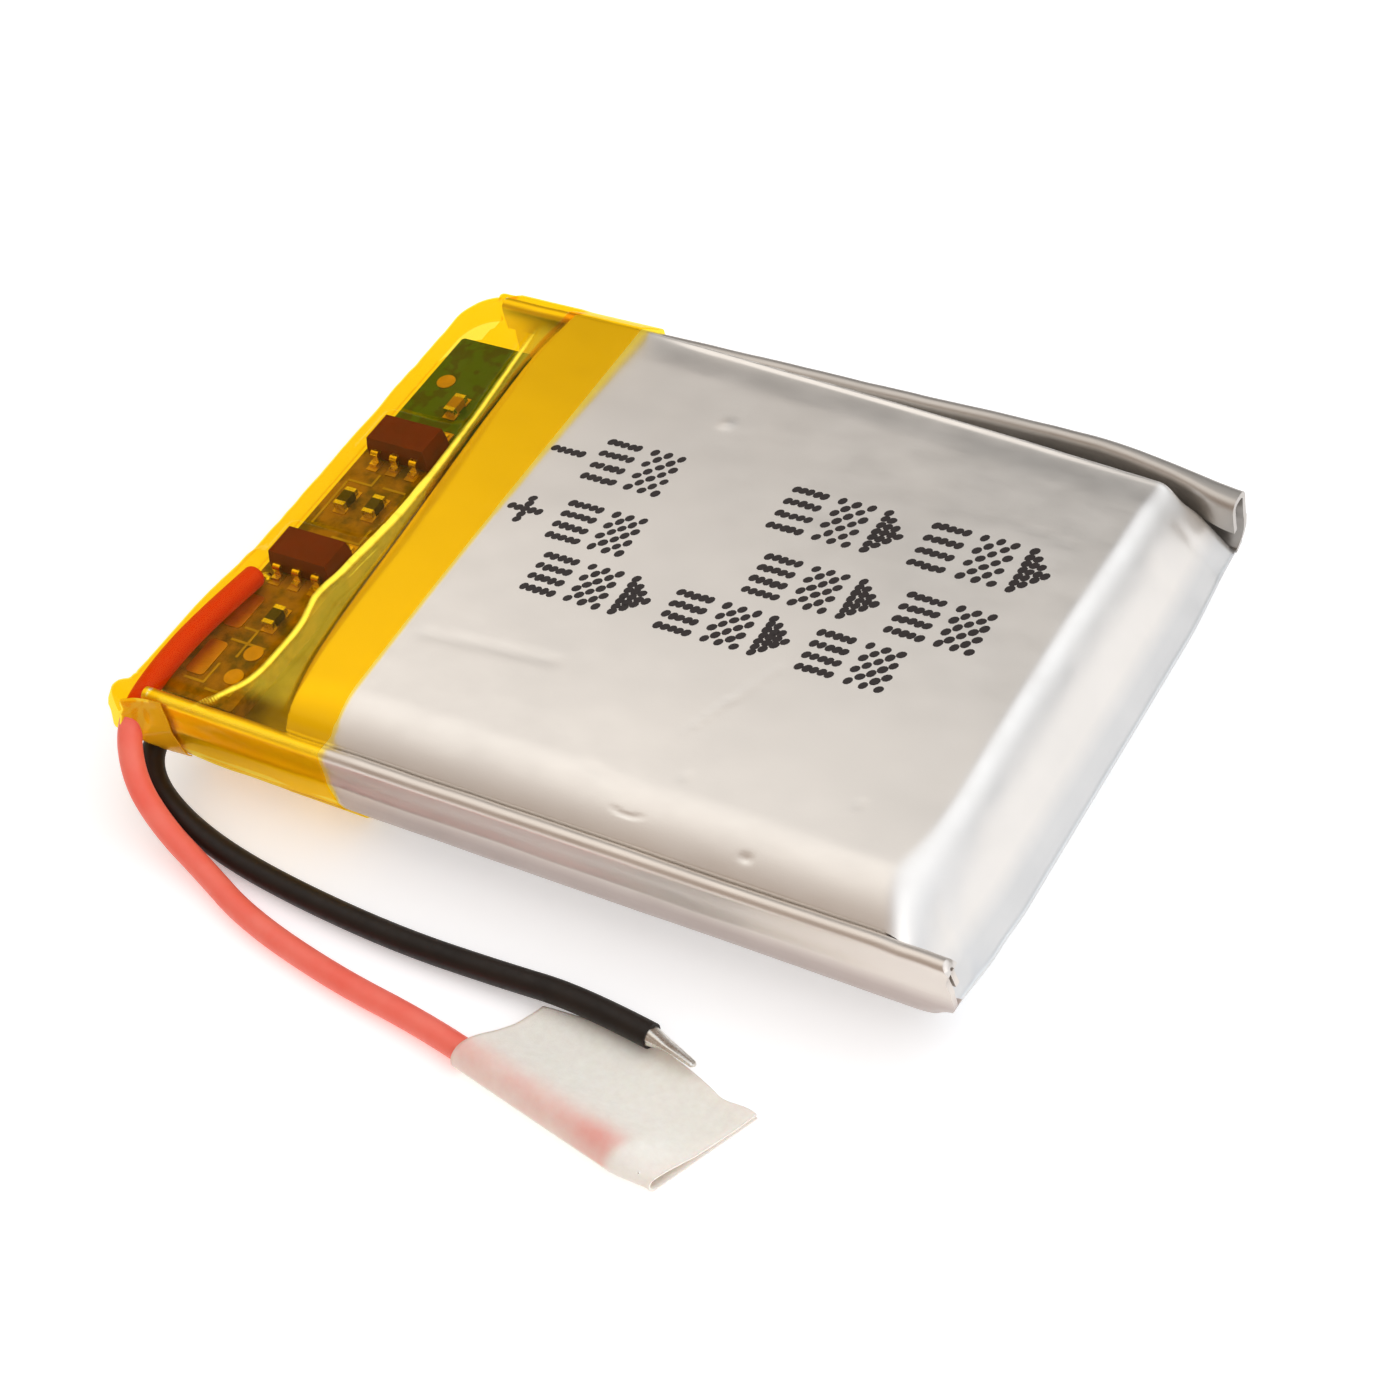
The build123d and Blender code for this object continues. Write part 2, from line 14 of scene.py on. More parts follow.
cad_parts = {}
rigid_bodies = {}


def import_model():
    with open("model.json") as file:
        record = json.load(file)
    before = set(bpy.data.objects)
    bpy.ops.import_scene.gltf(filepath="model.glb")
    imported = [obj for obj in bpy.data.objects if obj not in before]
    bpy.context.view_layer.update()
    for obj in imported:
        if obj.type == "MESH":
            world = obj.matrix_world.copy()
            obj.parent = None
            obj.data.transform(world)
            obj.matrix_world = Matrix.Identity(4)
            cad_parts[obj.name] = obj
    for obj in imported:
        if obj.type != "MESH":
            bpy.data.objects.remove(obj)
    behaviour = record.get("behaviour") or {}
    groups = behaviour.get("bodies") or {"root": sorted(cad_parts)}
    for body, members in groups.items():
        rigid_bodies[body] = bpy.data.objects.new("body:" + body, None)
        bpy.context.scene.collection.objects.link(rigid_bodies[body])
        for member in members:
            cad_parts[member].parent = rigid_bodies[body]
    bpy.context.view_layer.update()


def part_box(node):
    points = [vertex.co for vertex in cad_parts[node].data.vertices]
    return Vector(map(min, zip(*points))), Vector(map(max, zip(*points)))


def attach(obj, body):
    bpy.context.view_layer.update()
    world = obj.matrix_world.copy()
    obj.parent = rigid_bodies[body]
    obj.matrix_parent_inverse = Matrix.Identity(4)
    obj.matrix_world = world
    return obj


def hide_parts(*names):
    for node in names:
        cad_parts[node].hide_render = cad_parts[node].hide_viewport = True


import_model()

MM = 0.001
ROOT = "root"

# ------------------------------------------------------------ sizes, from the frame


def box_mm(node):
    """A CAD node's lowest and highest corners, in millimetres."""
    low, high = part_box(node)
    return np.array(low) / MM, np.array(high) / MM


CUP_LOW, CUP_HIGH = box_mm("upper_cup")
LOWER_LOW, LOWER_HIGH = box_mm("lower_cup")
RAIL_LOW, RAIL_HIGH = box_mm("side_seal_back")
IC_LOW, IC_HIGH = box_mm("protection_ic")
FET_LOW, FET_HIGH = box_mm("mosfet_ic")

TOP = CUP_HIGH[2]
BOTTOM = LOWER_LOW[2]
HALF_WIDTH = CUP_HIGH[1]
FOLD_X = CUP_HIGH[0]
SEAL_Z = LOWER_HIGH[2]
TERRACE_X = CUP_LOW[0]
CELL_X = -11.6  # the wall of the cups that faces the board
TAPE_EDGE_X = box_mm("tape_band")[1][0]
NOSE_X = box_mm("end_tape")[0][0]
BOARD_TOP = box_mm("circuit_board")[1][2]
UNDER_TAPE_X = -7.7  # the skin is painted brighter, as painted light, from here to the board end
PI = math.pi

# ------------------------------------------------------------ small helpers


def step(low, high, x):
    """A smooth rise from 0 at low to 1 at high."""
    t = np.clip((x - low) / (high - low), 0.0, 1.0)
    return t * t * (3 - 2 * t)


def bump(x, centre, width):
    """A bell of height 1."""
    return np.exp(-(((x - centre) / width) ** 2))


def soft_min(a, b, k):
    """The lower of two heights, rounded over where they are within k of each other."""
    h = np.clip(0.5 + 0.5 * (b - a) / k, 0.0, 1.0)
    return b * (1 - h) + a * h - k * h * (1 - h)


def soft_max(a, b, k):
    return -soft_min(-a, -b, k)


NOISE_SIZE = 64


def noise(x, y, cell, seed):
    """Smooth noise from -1 to 1 over the plane, with features about a cell across."""
    table = np.random.default_rng(seed).uniform(-1, 1, (NOISE_SIZE, NOISE_SIZE))
    u, v = np.asarray(x) / cell + 17.3, np.asarray(y) / cell + 29.1
    i, j = np.floor(u).astype(int), np.floor(v).astype(int)
    fu, fv = u - i, v - j
    fu, fv = fu * fu * (3 - 2 * fu), fv * fv * (3 - 2 * fv)
    i0, i1 = i % NOISE_SIZE, (i + 1) % NOISE_SIZE
    j0, j1 = j % NOISE_SIZE, (j + 1) % NOISE_SIZE
    near = table[i0, j0] * (1 - fu) + table[i1, j0] * fu
    far = table[i0, j1] * (1 - fu) + table[i1, j1] * fu
    return near * (1 - fv) + far * fv


def ridges(x, y, cell, seed):
    """Noise with sharp crests, from 0 to 1, for creased film."""
    return 1 - np.abs(noise(x, y, cell, seed))


def add_object(name, data):
    obj = bpy.data.objects.new(name, data)
    bpy.context.scene.collection.objects.link(obj)
    return obj


def mesh_piece(name, points, faces, material, sharp_degrees=50):
    """A smooth-shaded mesh object from points in millimetres."""
    mesh = bpy.data.meshes.new(name)
    mesh.from_pydata((np.asarray(points, float) * MM).tolist(), [], [list(map(int, f)) for f in faces])
    mesh.validate()
    mesh.polygons.foreach_set("use_smooth", [True] * len(mesh.polygons))
    mesh.set_sharp_from_angle(angle=math.radians(sharp_degrees))
    mesh.materials.append(material)
    return add_object(name, mesh)


def grid_faces(rows, columns, start=0, flip=False):
    """Quads of a grid of points stored row by row."""
    i, j = np.meshgrid(np.arange(rows - 1), np.arange(columns - 1), indexing="ij")
    a = start + (i * columns + j).ravel()
    quads = np.stack([a, a + columns, a + columns + 1, a + 1], 1)
    return quads[:, ::-1] if flip else quads


def loop_faces(count, loops=2, start=0, flip=False):
    """Quads between closed loops of count points each, stored one after another."""
    faces = []
    for a in range(start, start + (loops - 1) * count, count):
        for j in range(count):
            k = (j + 1) % count
            quad = (a + j, a + k, a + count + k, a + count + j)
            faces.append((quad[0], *quad[:0:-1]) if flip else quad)
    return faces


def thicken(obj, thickness, offset):
    """Gives an open sheet its thickness, and applies it."""
    solid = obj.modifiers.new("thickness", "SOLIDIFY")
    solid.thickness = thickness * MM
    solid.offset = offset
    solid.use_even_offset = False
    mesh = evaluated_mesh(obj)
    obj.modifiers.clear()
    obj.data = mesh


def evaluated_mesh(obj):
    return bpy.data.meshes.new_from_object(obj.evaluated_get(bpy.context.evaluated_depsgraph_get()))


def paint(obj, name, values):
    """Gives each point of a mesh a value, for its material to read."""
    obj.data.attributes.new(name, "FLOAT", "POINT").data.foreach_set("value", values)


def place(obj, slot, *nodes):
    """Every piece rides on the one body, and may stand for CAD nodes; its slot is not used."""
    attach(obj, ROOT)
    if nodes:
        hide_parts(*nodes)
    return obj


# ------------------------------------------------------------ materials


def add_node(tree, kind, inputs=None, **settings):
    """A shader node, with each input set to a value or linked from a socket."""
    made = tree.nodes.new(kind)
    for key, value in settings.items():
        setattr(made, key, value)
    for key, value in (inputs or {}).items():
        if isinstance(value, bpy.types.NodeSocket):
            tree.links.new(value, made.inputs[key])
        else:
            made.inputs[key].default_value = value
    return made


class Material:
    """A node material with its Principled shader, and short ways to add nodes to it.

    Inputs are the shader's own sockets, with _ for a space, for values the same all over.
    """

    def __init__(self, name, **inputs):
        self.material = bpy.data.materials.new(name)
        self.material.use_nodes = True
        self.tree = self.material.node_tree
        self.shader = self.tree.nodes["Principled BSDF"]
        self.output = self.tree.nodes["Material Output"]
        for key, value in inputs.items():
            self.shader.inputs[key.replace("_", " ")].default_value = value

    def node(self, kind, inputs=None, **settings):
        return add_node(self.tree, kind, inputs, **settings)

    def compute(self, operation, *values):
        return self.node("ShaderNodeMath", dict(enumerate(values)), operation=operation).outputs[0]

    def object_mm(self, scale=(1, 1, 1)):
        """Object coordinates in millimetres, stretched by scale."""
        place_ = self.node("ShaderNodeTexCoord").outputs["Object"]
        factor = tuple(s / MM for s in scale)
        return self.node("ShaderNodeVectorMath", {0: place_, 1: factor}, operation="MULTIPLY").outputs[0]

    def along(self, axis):
        """One object coordinate, in millimetres."""
        return self.node("ShaderNodeSeparateXYZ", {0: self.object_mm()}).outputs[axis]

    def noise(self, scale, detail=4.0, roughness=0.5, stretch=(1, 1, 1)):
        """Noise with features about 1 / scale millimetres across."""
        inputs = {"Scale": scale, "Detail": detail, "Roughness": roughness}
        inputs["Vector"] = self.object_mm(stretch)
        return self.node("ShaderNodeTexNoise", inputs).outputs["Fac"]

    def ramp(self, value, *stops):
        """A colour ramp with (position, colour) stops."""
        made = self.node("ShaderNodeValToRGB", {"Fac": value})
        ramp = made.color_ramp
        while len(ramp.elements) < len(stops):
            ramp.elements.new(0.5)
        for element, (position, colour) in zip(ramp.elements, stops):
            element.position = position
            element.color = (*colour, 1)
        return made.outputs["Color"]

    def span(self, value, low, high, out_low=0.0, out_high=1.0):
        """Maps a range of one number to another, clamped."""
        inputs = {"Value": value, "From Min": low, "From Max": high, "To Min": out_low, "To Max": out_high}
        return self.node("ShaderNodeMapRange", inputs).outputs["Result"]

    def mix(self, factor, a, b):
        """Colour b over colour a by factor; each is a socket or a plain colour."""
        a, b = (c if isinstance(c, bpy.types.NodeSocket) else (*c, 1) for c in (a, b))
        return self.node("ShaderNodeMix", {0: factor, 6: a, 7: b}, data_type="RGBA").outputs[2]

    def layer(self, factor, under, over):
        """Shader node over laid on shader node under, by factor."""
        return self.node("ShaderNodeMixShader", {0: factor, 1: under.outputs[0], 2: over.outputs[0]})

    def set(self, socket, value):
        self.tree.links.new(value, self.shader.inputs[socket])
        return self

    def rough(self, noise_, low, high):
        """Roughness that follows a noise, mostly between low and high."""
        return self.set("Roughness", self.span(noise_, 0.3, 0.7, low, high))

    def relief(self, height, depth, strength):
        """Bump from a height of 0 to 1, which is depth millimetres deep."""
        inputs = {"Height": height, "Distance": depth * MM, "Strength": strength}
        made = self.node("ShaderNodeBump", inputs)
        return self.set("Normal", made.outputs["Normal"])


def laminate_material(name, upper, lower):
    """Drawn aluminium laminate under clear nylon: satin metal with soft wear and a fine grain.

    Its colour is multiplied by upper above half height and by lower below it: painted shade, which stands in
    for how the light falls on each half.
    """
    m = Material(name, Metallic=0.92, Coat_Weight=0.25, Coat_Roughness=0.35)
    worn = m.ramp(m.noise(0.16, 3.0), (0.3, (0.775, 0.742, 0.70)), (0.7, (0.835, 0.797, 0.75)))
    # Painted shade: one plain colour for the upper half and another for the lower half.
    shade = m.mix(m.span(m.along("Z"), 2.7, 3.5, 1.0, 0.0), upper, lower)
    worn_with_painted_shade = m.node("ShaderNodeVectorMath", {0: worn, 1: shade}, operation="MULTIPLY").outputs[0]
    # Painted light: under the tape the skin is painted a brighter, warmer colour.
    painted_light_under_tape = m.span(m.along("X"), UNDER_TAPE_X - 0.3, UNDER_TAPE_X, 1.0, 0.0)
    m.set("Base Color", m.mix(painted_light_under_tape, worn_with_painted_shade, (1.0, 0.97, 0.92)))
    m.rough(m.noise(0.9, 5.0, 0.6, (0.5, 1, 1)), 0.33, 0.44)
    m.relief(m.noise(16.0, 3.0, 0.6), 0.006, 0.35)
    return m.material


def polyimide_material(name, tint, milky):
    """Amber polyimide film: tints what is behind it, with a sharp gloss, a little milkiness, and a painted,
    faintly glowing highlight where its crease attribute is set.
    """
    m = Material(name, Roughness=0.12, IOR=1.68, Specular_IOR_Level=0.08)
    streak = m.noise(0.5, 3.0, 0.5, (1, 0.4, 1))
    m.set("Base Color", m.ramp(streak, (0.3, (0.96, 0.52, 0.006)), (0.7, (1.0, 0.62, 0.015))))
    m.rough(m.noise(1.4, 4.0), 0.08, 0.2)
    m.relief(m.noise(1.1, 3.0, 0.55), 0.05, 0.25)
    clear = m.node("ShaderNodeBsdfTransparent", {"Color": (*tint, 1)})
    body = m.layer(milky, clear, m.shader)
    gloss = m.node("ShaderNodeBsdfGlossy", {"Color": (1, 0.94, 0.50, 1), "Roughness": 0.09})
    # Gloss grows towards grazing angles, on the outer faces only.
    facing = m.node("ShaderNodeLayerWeight", {"Blend": 0.5}).outputs["Facing"]
    shine = m.compute("MULTIPLY_ADD", m.compute("POWER", facing, 5.0), 0.3, 0.010)
    inside = m.node("ShaderNodeNewGeometry").outputs["Backfacing"]
    film = m.layer(m.compute("MULTIPLY", shine, m.compute("SUBTRACT", 1.0, inside)), body, gloss)
    # Where the crease attribute is set, the film gets a painted glint: a bright yellow line with a faint
    # glow, broken up by noise.
    finish = {"Roughness": 0.35, "Metallic": 0.1, "Specular IOR Level": 0.2}
    painted_glow = {"Emission Color": (1.0, 0.86, 0.14, 1), "Emission Strength": 0.30}
    painted_glint = m.node("ShaderNodeBsdfPrincipled", {"Base Color": (1.0, 0.80, 0.03, 1), **finish, **painted_glow})
    line = m.node("ShaderNodeAttribute", attribute_name="crease").outputs["Fac"]
    broken_glint = m.span(m.noise(1.7, 4.0, 0.65), 0.34, 0.50, 0.72, 1.0)
    film = m.layer(m.compute("MULTIPLY", line, broken_glint), film, painted_glint)
    m.tree.links.new(film.outputs[0], m.output.inputs["Surface"])
    return m.material


def insulation_material(name, dark, light, roughness, painted_shade_under_tape):
    """Extruded lead insulation, slightly uneven; the last colour is painted shade, used where the tape
    covers the lead.
    """
    m = Material(
        name, Roughness=roughness, Specular_IOR_Level=0.3, Subsurface_Weight=0.08, Subsurface_Scale=0.0004
    )
    # Painted shade: where the tape covers the lead, its colour becomes a darker one.
    under_tape_mask = m.span(m.along("Y"), -13.3, -12.5)
    m.set("Base Color", m.mix(under_tape_mask, m.ramp(m.noise(0.7, 3.0), (0.3, dark), (0.7, light)), painted_shade_under_tape))
    m.rough(m.noise(3.0, 3.0), roughness - 0.05, roughness + 0.08)
    m.relief(m.noise(5.0, 4.0), 0.01, 0.3)
    return m.material


def tinned_material():
    """Bright tin over copper strands or pins."""
    m = Material("tinned", Metallic=1.0)
    m.set("Base Color", m.ramp(m.noise(2.0, 4.0), (0.3, (0.60, 0.56, 0.50)), (0.75, (0.86, 0.84, 0.80))))
    m.rough(m.noise(6.0, 3.0), 0.18, 0.34)
    m.relief(m.noise(9.0, 3.0), 0.02, 0.4)
    return m.material


def paper_tape_material():
    """Off-white paper tape, pink where the red lead shows through it."""
    m = Material("paper_tape", Roughness=0.85, Subsurface_Weight=0.15, Subsurface_Scale=0.0006)
    fibres = m.noise(3.0, 6.0, 0.65)
    paper = m.ramp(fibres, (0.3, (0.94, 0.85, 0.765)), (0.7, (1.0, 0.925, 0.84)))
    tint = m.node("ShaderNodeAttribute", attribute_name="lead_tint").outputs["Fac"]
    uneven = m.span(m.noise(0.9, 3.0), 0.3, 0.7, 0.75, 1.2)
    m.set("Base Color", m.mix(m.compute("MULTIPLY", tint, uneven), paper, (0.92, 0.42, 0.36)))
    m.relief(m.noise(7.0, 5.0, 0.7), 0.03, 0.5)
    return m.material


def board_material():
    """Solder mask over glass cloth: green at the back, thin and brown round the parts."""
    m = Material("board", Roughness=0.4, Coat_Weight=0.15, Coat_Roughness=0.12)
    green = m.ramp(m.noise(1.6, 2.0), (0.42, (0.005, 0.060, 0.007)), (0.5, (0.010, 0.125, 0.012)))
    bare = m.ramp(m.noise(1.1, 4.0, 0.6), (0.38, (0.085, 0.060, 0.009)), (0.6, (0.34, 0.180, 0.035)))
    m.set("Base Color", m.mix(m.span(m.along("Y"), 3.6, 4.4, 1.0, 0.0), green, bare))
    m.relief(m.noise(8.0, 2.0), 0.01, 0.3)
    return m.material


SHADE_VARIATION = 0.15


def plain_material(name, colour, roughness, metallic=0.0, grain=12.0, **inputs):
    """A material with a fine grain, and slight changes of shade."""
    m = Material(name, Metallic=metallic, **inputs)
    dark = tuple(c * (1 - SHADE_VARIATION) for c in colour)
    light = tuple(min(1.0, c * (1 + SHADE_VARIATION)) for c in colour)
    m.set("Base Color", m.ramp(m.noise(1.5, 4.0), (0.3, dark), (0.7, light)))
    m.rough(m.noise(4.0, 3.0), roughness * 0.85, min(1.0, roughness * 1.2))
    m.relief(m.noise(grain, 3.0), 0.012, 0.4)
    return m.material


# Copies of one laminate, lit and shaded differently: their upper and lower colours are painted shade, and
# the back seal is painted darker all over.
LAMINATE = laminate_material("laminate", (1, 1, 1), (0.82, 0.85, 0.885))
FRONT_SEAL_PAINTED_SHADE = laminate_material("front_seal_painted_shade", (0.90, 0.86, 0.83), (0.62, 0.545, 0.53))
BACK_SEAL_PAINTED_SHADE = laminate_material("back_seal_painted_shade", (0.66, 0.645, 0.63), (0.66, 0.645, 0.63))
POLYIMIDE = polyimide_material("polyimide", (1.0, 0.875, 0.24), 0.012)
FOLDED_POLYIMIDE = polyimide_material("folded_polyimide", (0.98, 0.70, 0.10), 0.62)
RED_PVC = insulation_material(
    "red_pvc", (0.97, 0.155, 0.105), (1.0, 0.215, 0.155), 0.42, (0.78, 0.028, 0.02)
)
BLACK_PVC = insulation_material(
    "black_pvc", (0.010, 0.0055, 0.003), (0.017, 0.010, 0.006), 0.5, (0.012, 0.007, 0.004)
)
TINNED = tinned_material()
PAPER_TAPE = paper_tape_material()
INK = plain_material("ink", (0.014, 0.007, 0.006), 0.5, grain=10.0)
SILKSCREEN = plain_material("silkscreen", (0.46, 0.36, 0.22), 0.6)
IC_BODY = plain_material("ic_body", (0.13, 0.010, 0.003), 0.75, Specular_IOR_Level=0.1)

# ------------------------------------------------------------ camera, light and floor

CAMERA_ANGLES = (42.81, 45.98, -15.98)  # azimuth, elevation and roll, in degrees
CAMERA_SPOT = (49.20, -58.39, 75.91)
CAMERA_LENS = 72.26
CAMERA_SHIFT = (0.0549, 0.0354)
FRONT_WALL = (0.45, 0.36, 0.30, 1)
RIGHT_WALL = (0.80, 0.85, 0.93, 1)
BACK_WALL = (0.26, 0.257, 0.25, 1)
CEILING = (1.28, 1.235, 1.185, 1)
FAR_PANEL = (1.34, 1.40, 1.48, 1)
FILL_SPOT = (200, -75, 130)
FILL_SIZE = (150, 150)
FILL_WATTS = 0.07
FLOOR_HALF = 900
FLOOR_DROP = 0.02  # the floor lies this far under the pack, so that the two don't flicker


def add_camera():
    """Seen from above the front right corner, rolled a little."""
    azimuth, elevation, roll = (math.radians(a) for a in CAMERA_ANGLES)
    flat = math.cos(elevation)
    back = Vector((math.sin(azimuth) * flat, -math.cos(azimuth) * flat, math.sin(elevation)))
    level = Vector((math.cos(azimuth), math.sin(azimuth), 0))
    rise = back.cross(level)
    right = math.cos(roll) * level + math.sin(roll) * rise
    up = math.cos(roll) * rise - math.sin(roll) * level
    data = bpy.data.cameras.new("camera")
    data.sensor_width = 36
    data.lens = CAMERA_LENS
    data.shift_x, data.shift_y = CAMERA_SHIFT
    data.clip_start = 0.001
    camera = add_object("camera", data)
    place_ = Matrix((right, up, back)).transposed().to_4x4()
    place_.translation = Vector(CAMERA_SPOT) * MM
    camera.matrix_world = place_
    bpy.context.scene.camera = camera


def add_fill_light():
    """One soft light, high beyond the folded end and in front, aimed at the pack."""
    data = bpy.data.lights.new("fill", "AREA")
    data.shape = "RECTANGLE"
    data.size, data.size_y = (s * MM for s in FILL_SIZE)
    data.energy = FILL_WATTS
    data.color = (1.0, 0.98, 0.96)
    light = add_object("fill", data)
    light.location = Vector(FILL_SPOT) * MM
    direction = -Vector(FILL_SPOT).normalized()
    light.rotation_euler = direction.to_track_quat("-Z", "Y").to_euler()


def add_world():
    """A studio: a bright ceiling and far panel, a warm front, a pale right side, a dark back."""
    world = bpy.data.worlds.new("studio")
    world.use_nodes = True
    tree = world.node_tree
    direction = tree.nodes.new("ShaderNodeTexCoord").outputs["Generated"]

    def part(toward, low, high, before, after):
        """Mixes after over before where the direction is close to toward."""
        near = add_node(tree, "ShaderNodeVectorMath", {0: direction, 1: toward}, operation="DOT_PRODUCT")
        inputs = {"Value": near.outputs["Value"], "From Min": low, "From Max": high}
        share = add_node(tree, "ShaderNodeMapRange", inputs, interpolation_type="SMOOTHSTEP").outputs[0]
        return add_node(tree, "ShaderNodeMix", {0: share, 6: before, 7: after}, data_type="RGBA").outputs[2]

    sky = part((0.96, 0.28, 0), -0.2, 0.7, FRONT_WALL, RIGHT_WALL)
    sky = part((-0.45, 0.18, 0.875), 0.66, 1.0, sky, CEILING)
    sky = part((0.15, 0.93, 0.33), 0.55, 0.85, sky, BACK_WALL)
    sky = part((0.46, 0.50, 0.74), 0.72, 1.0, sky, FAR_PANEL)
    tree.links.new(sky, tree.nodes["Background"].inputs["Color"])
    tree.nodes["Background"].inputs["Strength"].default_value = 1.0
    bpy.context.scene.world = world


def add_floor():
    """A pale floor that glows faintly, so that it stays white beside the pack."""
    m = Material(
        "floor",
        Base_Color=(0.96, 0.97, 0.98, 1),
        Roughness=0.9,
        Emission_Color=(1, 1, 1, 1),
        Emission_Strength=0.32,
    )
    m.relief(m.noise(0.05, 2.0), 0.05, 0.1)
    half = FLOOR_HALF
    points = [(-half, -half, 0), (half, -half, 0), (half, half, 0), (-half, half, 0)]
    floor = mesh_piece("floor", points, [(0, 1, 2, 3)], m.material)
    floor.location.z = -FLOOR_DROP * MM


add_camera()
add_world()
add_floor()
add_fill_light()
bpy.context.scene.view_settings.view_transform = "Standard"

# ------------------------------------------------------------ leads

LEAD_DIAMETER = 0.95
RED_ROUTE = [
    (-16.30, -5.30, 4.52),
    (-16.72, -7.90, 4.55),
    (-16.85, -10.50, 4.52),
    (-17.05, -12.90, 3.90),
    (-16.15, -14.45, 2.45),
    (-14.40, -15.35, 1.30),
    (-12.00, -16.15, 0.72),
    (-9.20, -17.30, 0.55),
    (-4.60, -18.25, 0.50),
    (0.00, -18.75, 0.55),
    (4.40, -19.70, 0.60),
    (8.95, -20.62, 0.60),
]
BLACK_ROUTE = [
    (-15.60, -3.90, 2.65),
    (-16.25, -6.40, 2.65),
    (-16.75, -9.60, 2.50),
    (-17.05, -12.30, 1.95),
    (-16.35, -13.55, 1.35),
    (-14.40, -14.45, 0.85),
    (-11.60, -15.10, 0.50),
    (-7.60, -15.62, 0.50),
    (-3.00, -15.90, 0.52),
    (1.20, -15.82, 0.62),
    (4.60, -15.75, 0.86),
    (7.70, -16.15, 0.86),
]


def lead_curve(name, route, material):
    """A smooth tube whose control points are the route."""
    data = bpy.data.curves.new(name, "CURVE")
    data.dimensions = "3D"
    spline = data.splines.new("NURBS")
    spline.points.add(len(route) - 1)
    for point, (x, y, z) in zip(spline.points, route):
        point.co = (x * MM, y * MM, z * MM, 1)
    spline.order_u = 3
    spline.use_endpoint_u = True
    data.resolution_u = 24
    data.bevel_depth = LEAD_DIAMETER / 2 * MM
    data.bevel_resolution = 8
    data.use_fill_caps = True
    data.materials.append(material)
    return add_object(name, data)


def lead_path(route):
    """Points along the smooth line of a lead, as an array in millimetres."""
    plain = lead_curve("path", route, RED_PVC)
    plain.data.bevel_depth = 0
    bpy.context.view_layer.update()
    points = np.array([v.co for v in evaluated_mesh(plain).vertices]) / MM
    bpy.data.objects.remove(plain)
    return points


TIP_TURNS = 0.12
TIP_STRANDS = 7
TIP_ROLL = math.radians(38)


def tinned_tip(name, route, length, start_radius, end_radius, droop):
    """Strands tinned and pinched into one flat tapering blade, bent down a little."""
    end = Vector(route[-1])
    ahead = (end - Vector(route[-2])).normalized()
    side = ahead.cross(Vector((0, 0, 1))).normalized()
    up = side.cross(ahead)
    wide = side * math.cos(TIP_ROLL) + up * math.sin(TIP_ROLL)
    thin = up * math.cos(TIP_ROLL) - side * math.sin(TIP_ROLL)
    rings, around = 60, 84
    points = []
    for t in np.linspace(0, 1, rings):
        centre = end + ahead * (length * t - 0.15) + up * (-droop * t * t) + side * (droop * 1.4 * t * t)
        radius = start_radius + (end_radius - start_radius) * t
        radius *= 1 - 0.35 * step(0.96, 1.0, t)
        flat = 0.95 - 0.38 * step(0.0, 0.5, t)
        for a in np.linspace(0, 2 * PI, around, endpoint=False):
            strands = 1 + 0.05 * abs(math.cos(TIP_STRANDS * (a + TIP_TURNS * 2 * PI * t) / 2))
            # The pinched faces are flatter than an ellipse.
            lean = abs(math.cos(a)) ** 2.6 + abs(math.sin(a)) ** 2.6
            offset = wide * (math.cos(a) * 1.08) + thin * (math.sin(a) * flat)
            points.append(centre + offset * (radius * strands * lean ** -0.3))
    faces = loop_faces(around, rings, flip=True)
    faces.append(list(range(around)))
    faces.append(list(range((rings - 1) * around, rings * around))[::-1])
    return mesh_piece(name, [tuple(p) for p in points], faces, TINNED, 60)


red_lead = place(lead_curve("red_lead", RED_ROUTE, RED_PVC), "red_pvc", "red_insulation", "red_strands")
black_lead = lead_curve("black_lead", BLACK_ROUTE, BLACK_PVC)
place(black_lead, "black_pvc", "black_insulation", "black_strands")
red_tip = place(tinned_tip("red_tinned_tip", RED_ROUTE, 1.4, 0.34, 0.2, 0.02), "tinned", "red_tip")
black_tip = place(tinned_tip("black_tinned_tip", BLACK_ROUTE, 2.1, 0.37, 0.17, 0.12), "tinned", "black_tip")

# ------------------------------------------------------------ paper flag on the red lead

FLAG_NEAR, FLAG_FAR_LEFT, FLAG_FAR_RIGHT, FLAG_NEAR_RIGHT = (
    np.array(p) for p in ((1.90, -19.18), (3.50, -15.42), (12.45, -16.90), (10.60, -20.95))
)
FLAG_BOW = 0.85
FLAG_LAYER = 0.09
FLAG_NOSE = 0.565


def flag_edges(along):
    """The fold's line and the free edge, along the lead from 0 to 1; the free edge bows out."""
    near = FLAG_NEAR + (FLAG_NEAR_RIGHT - FLAG_NEAR) * along
    far = FLAG_FAR_LEFT + (FLAG_FAR_RIGHT - FLAG_FAR_LEFT) * along
    outward = (far - near) / np.linalg.norm(far - near)
    far = far + outward * FLAG_BOW * math.sin(PI * along)
    return near, outward, np.linalg.norm(far - near)


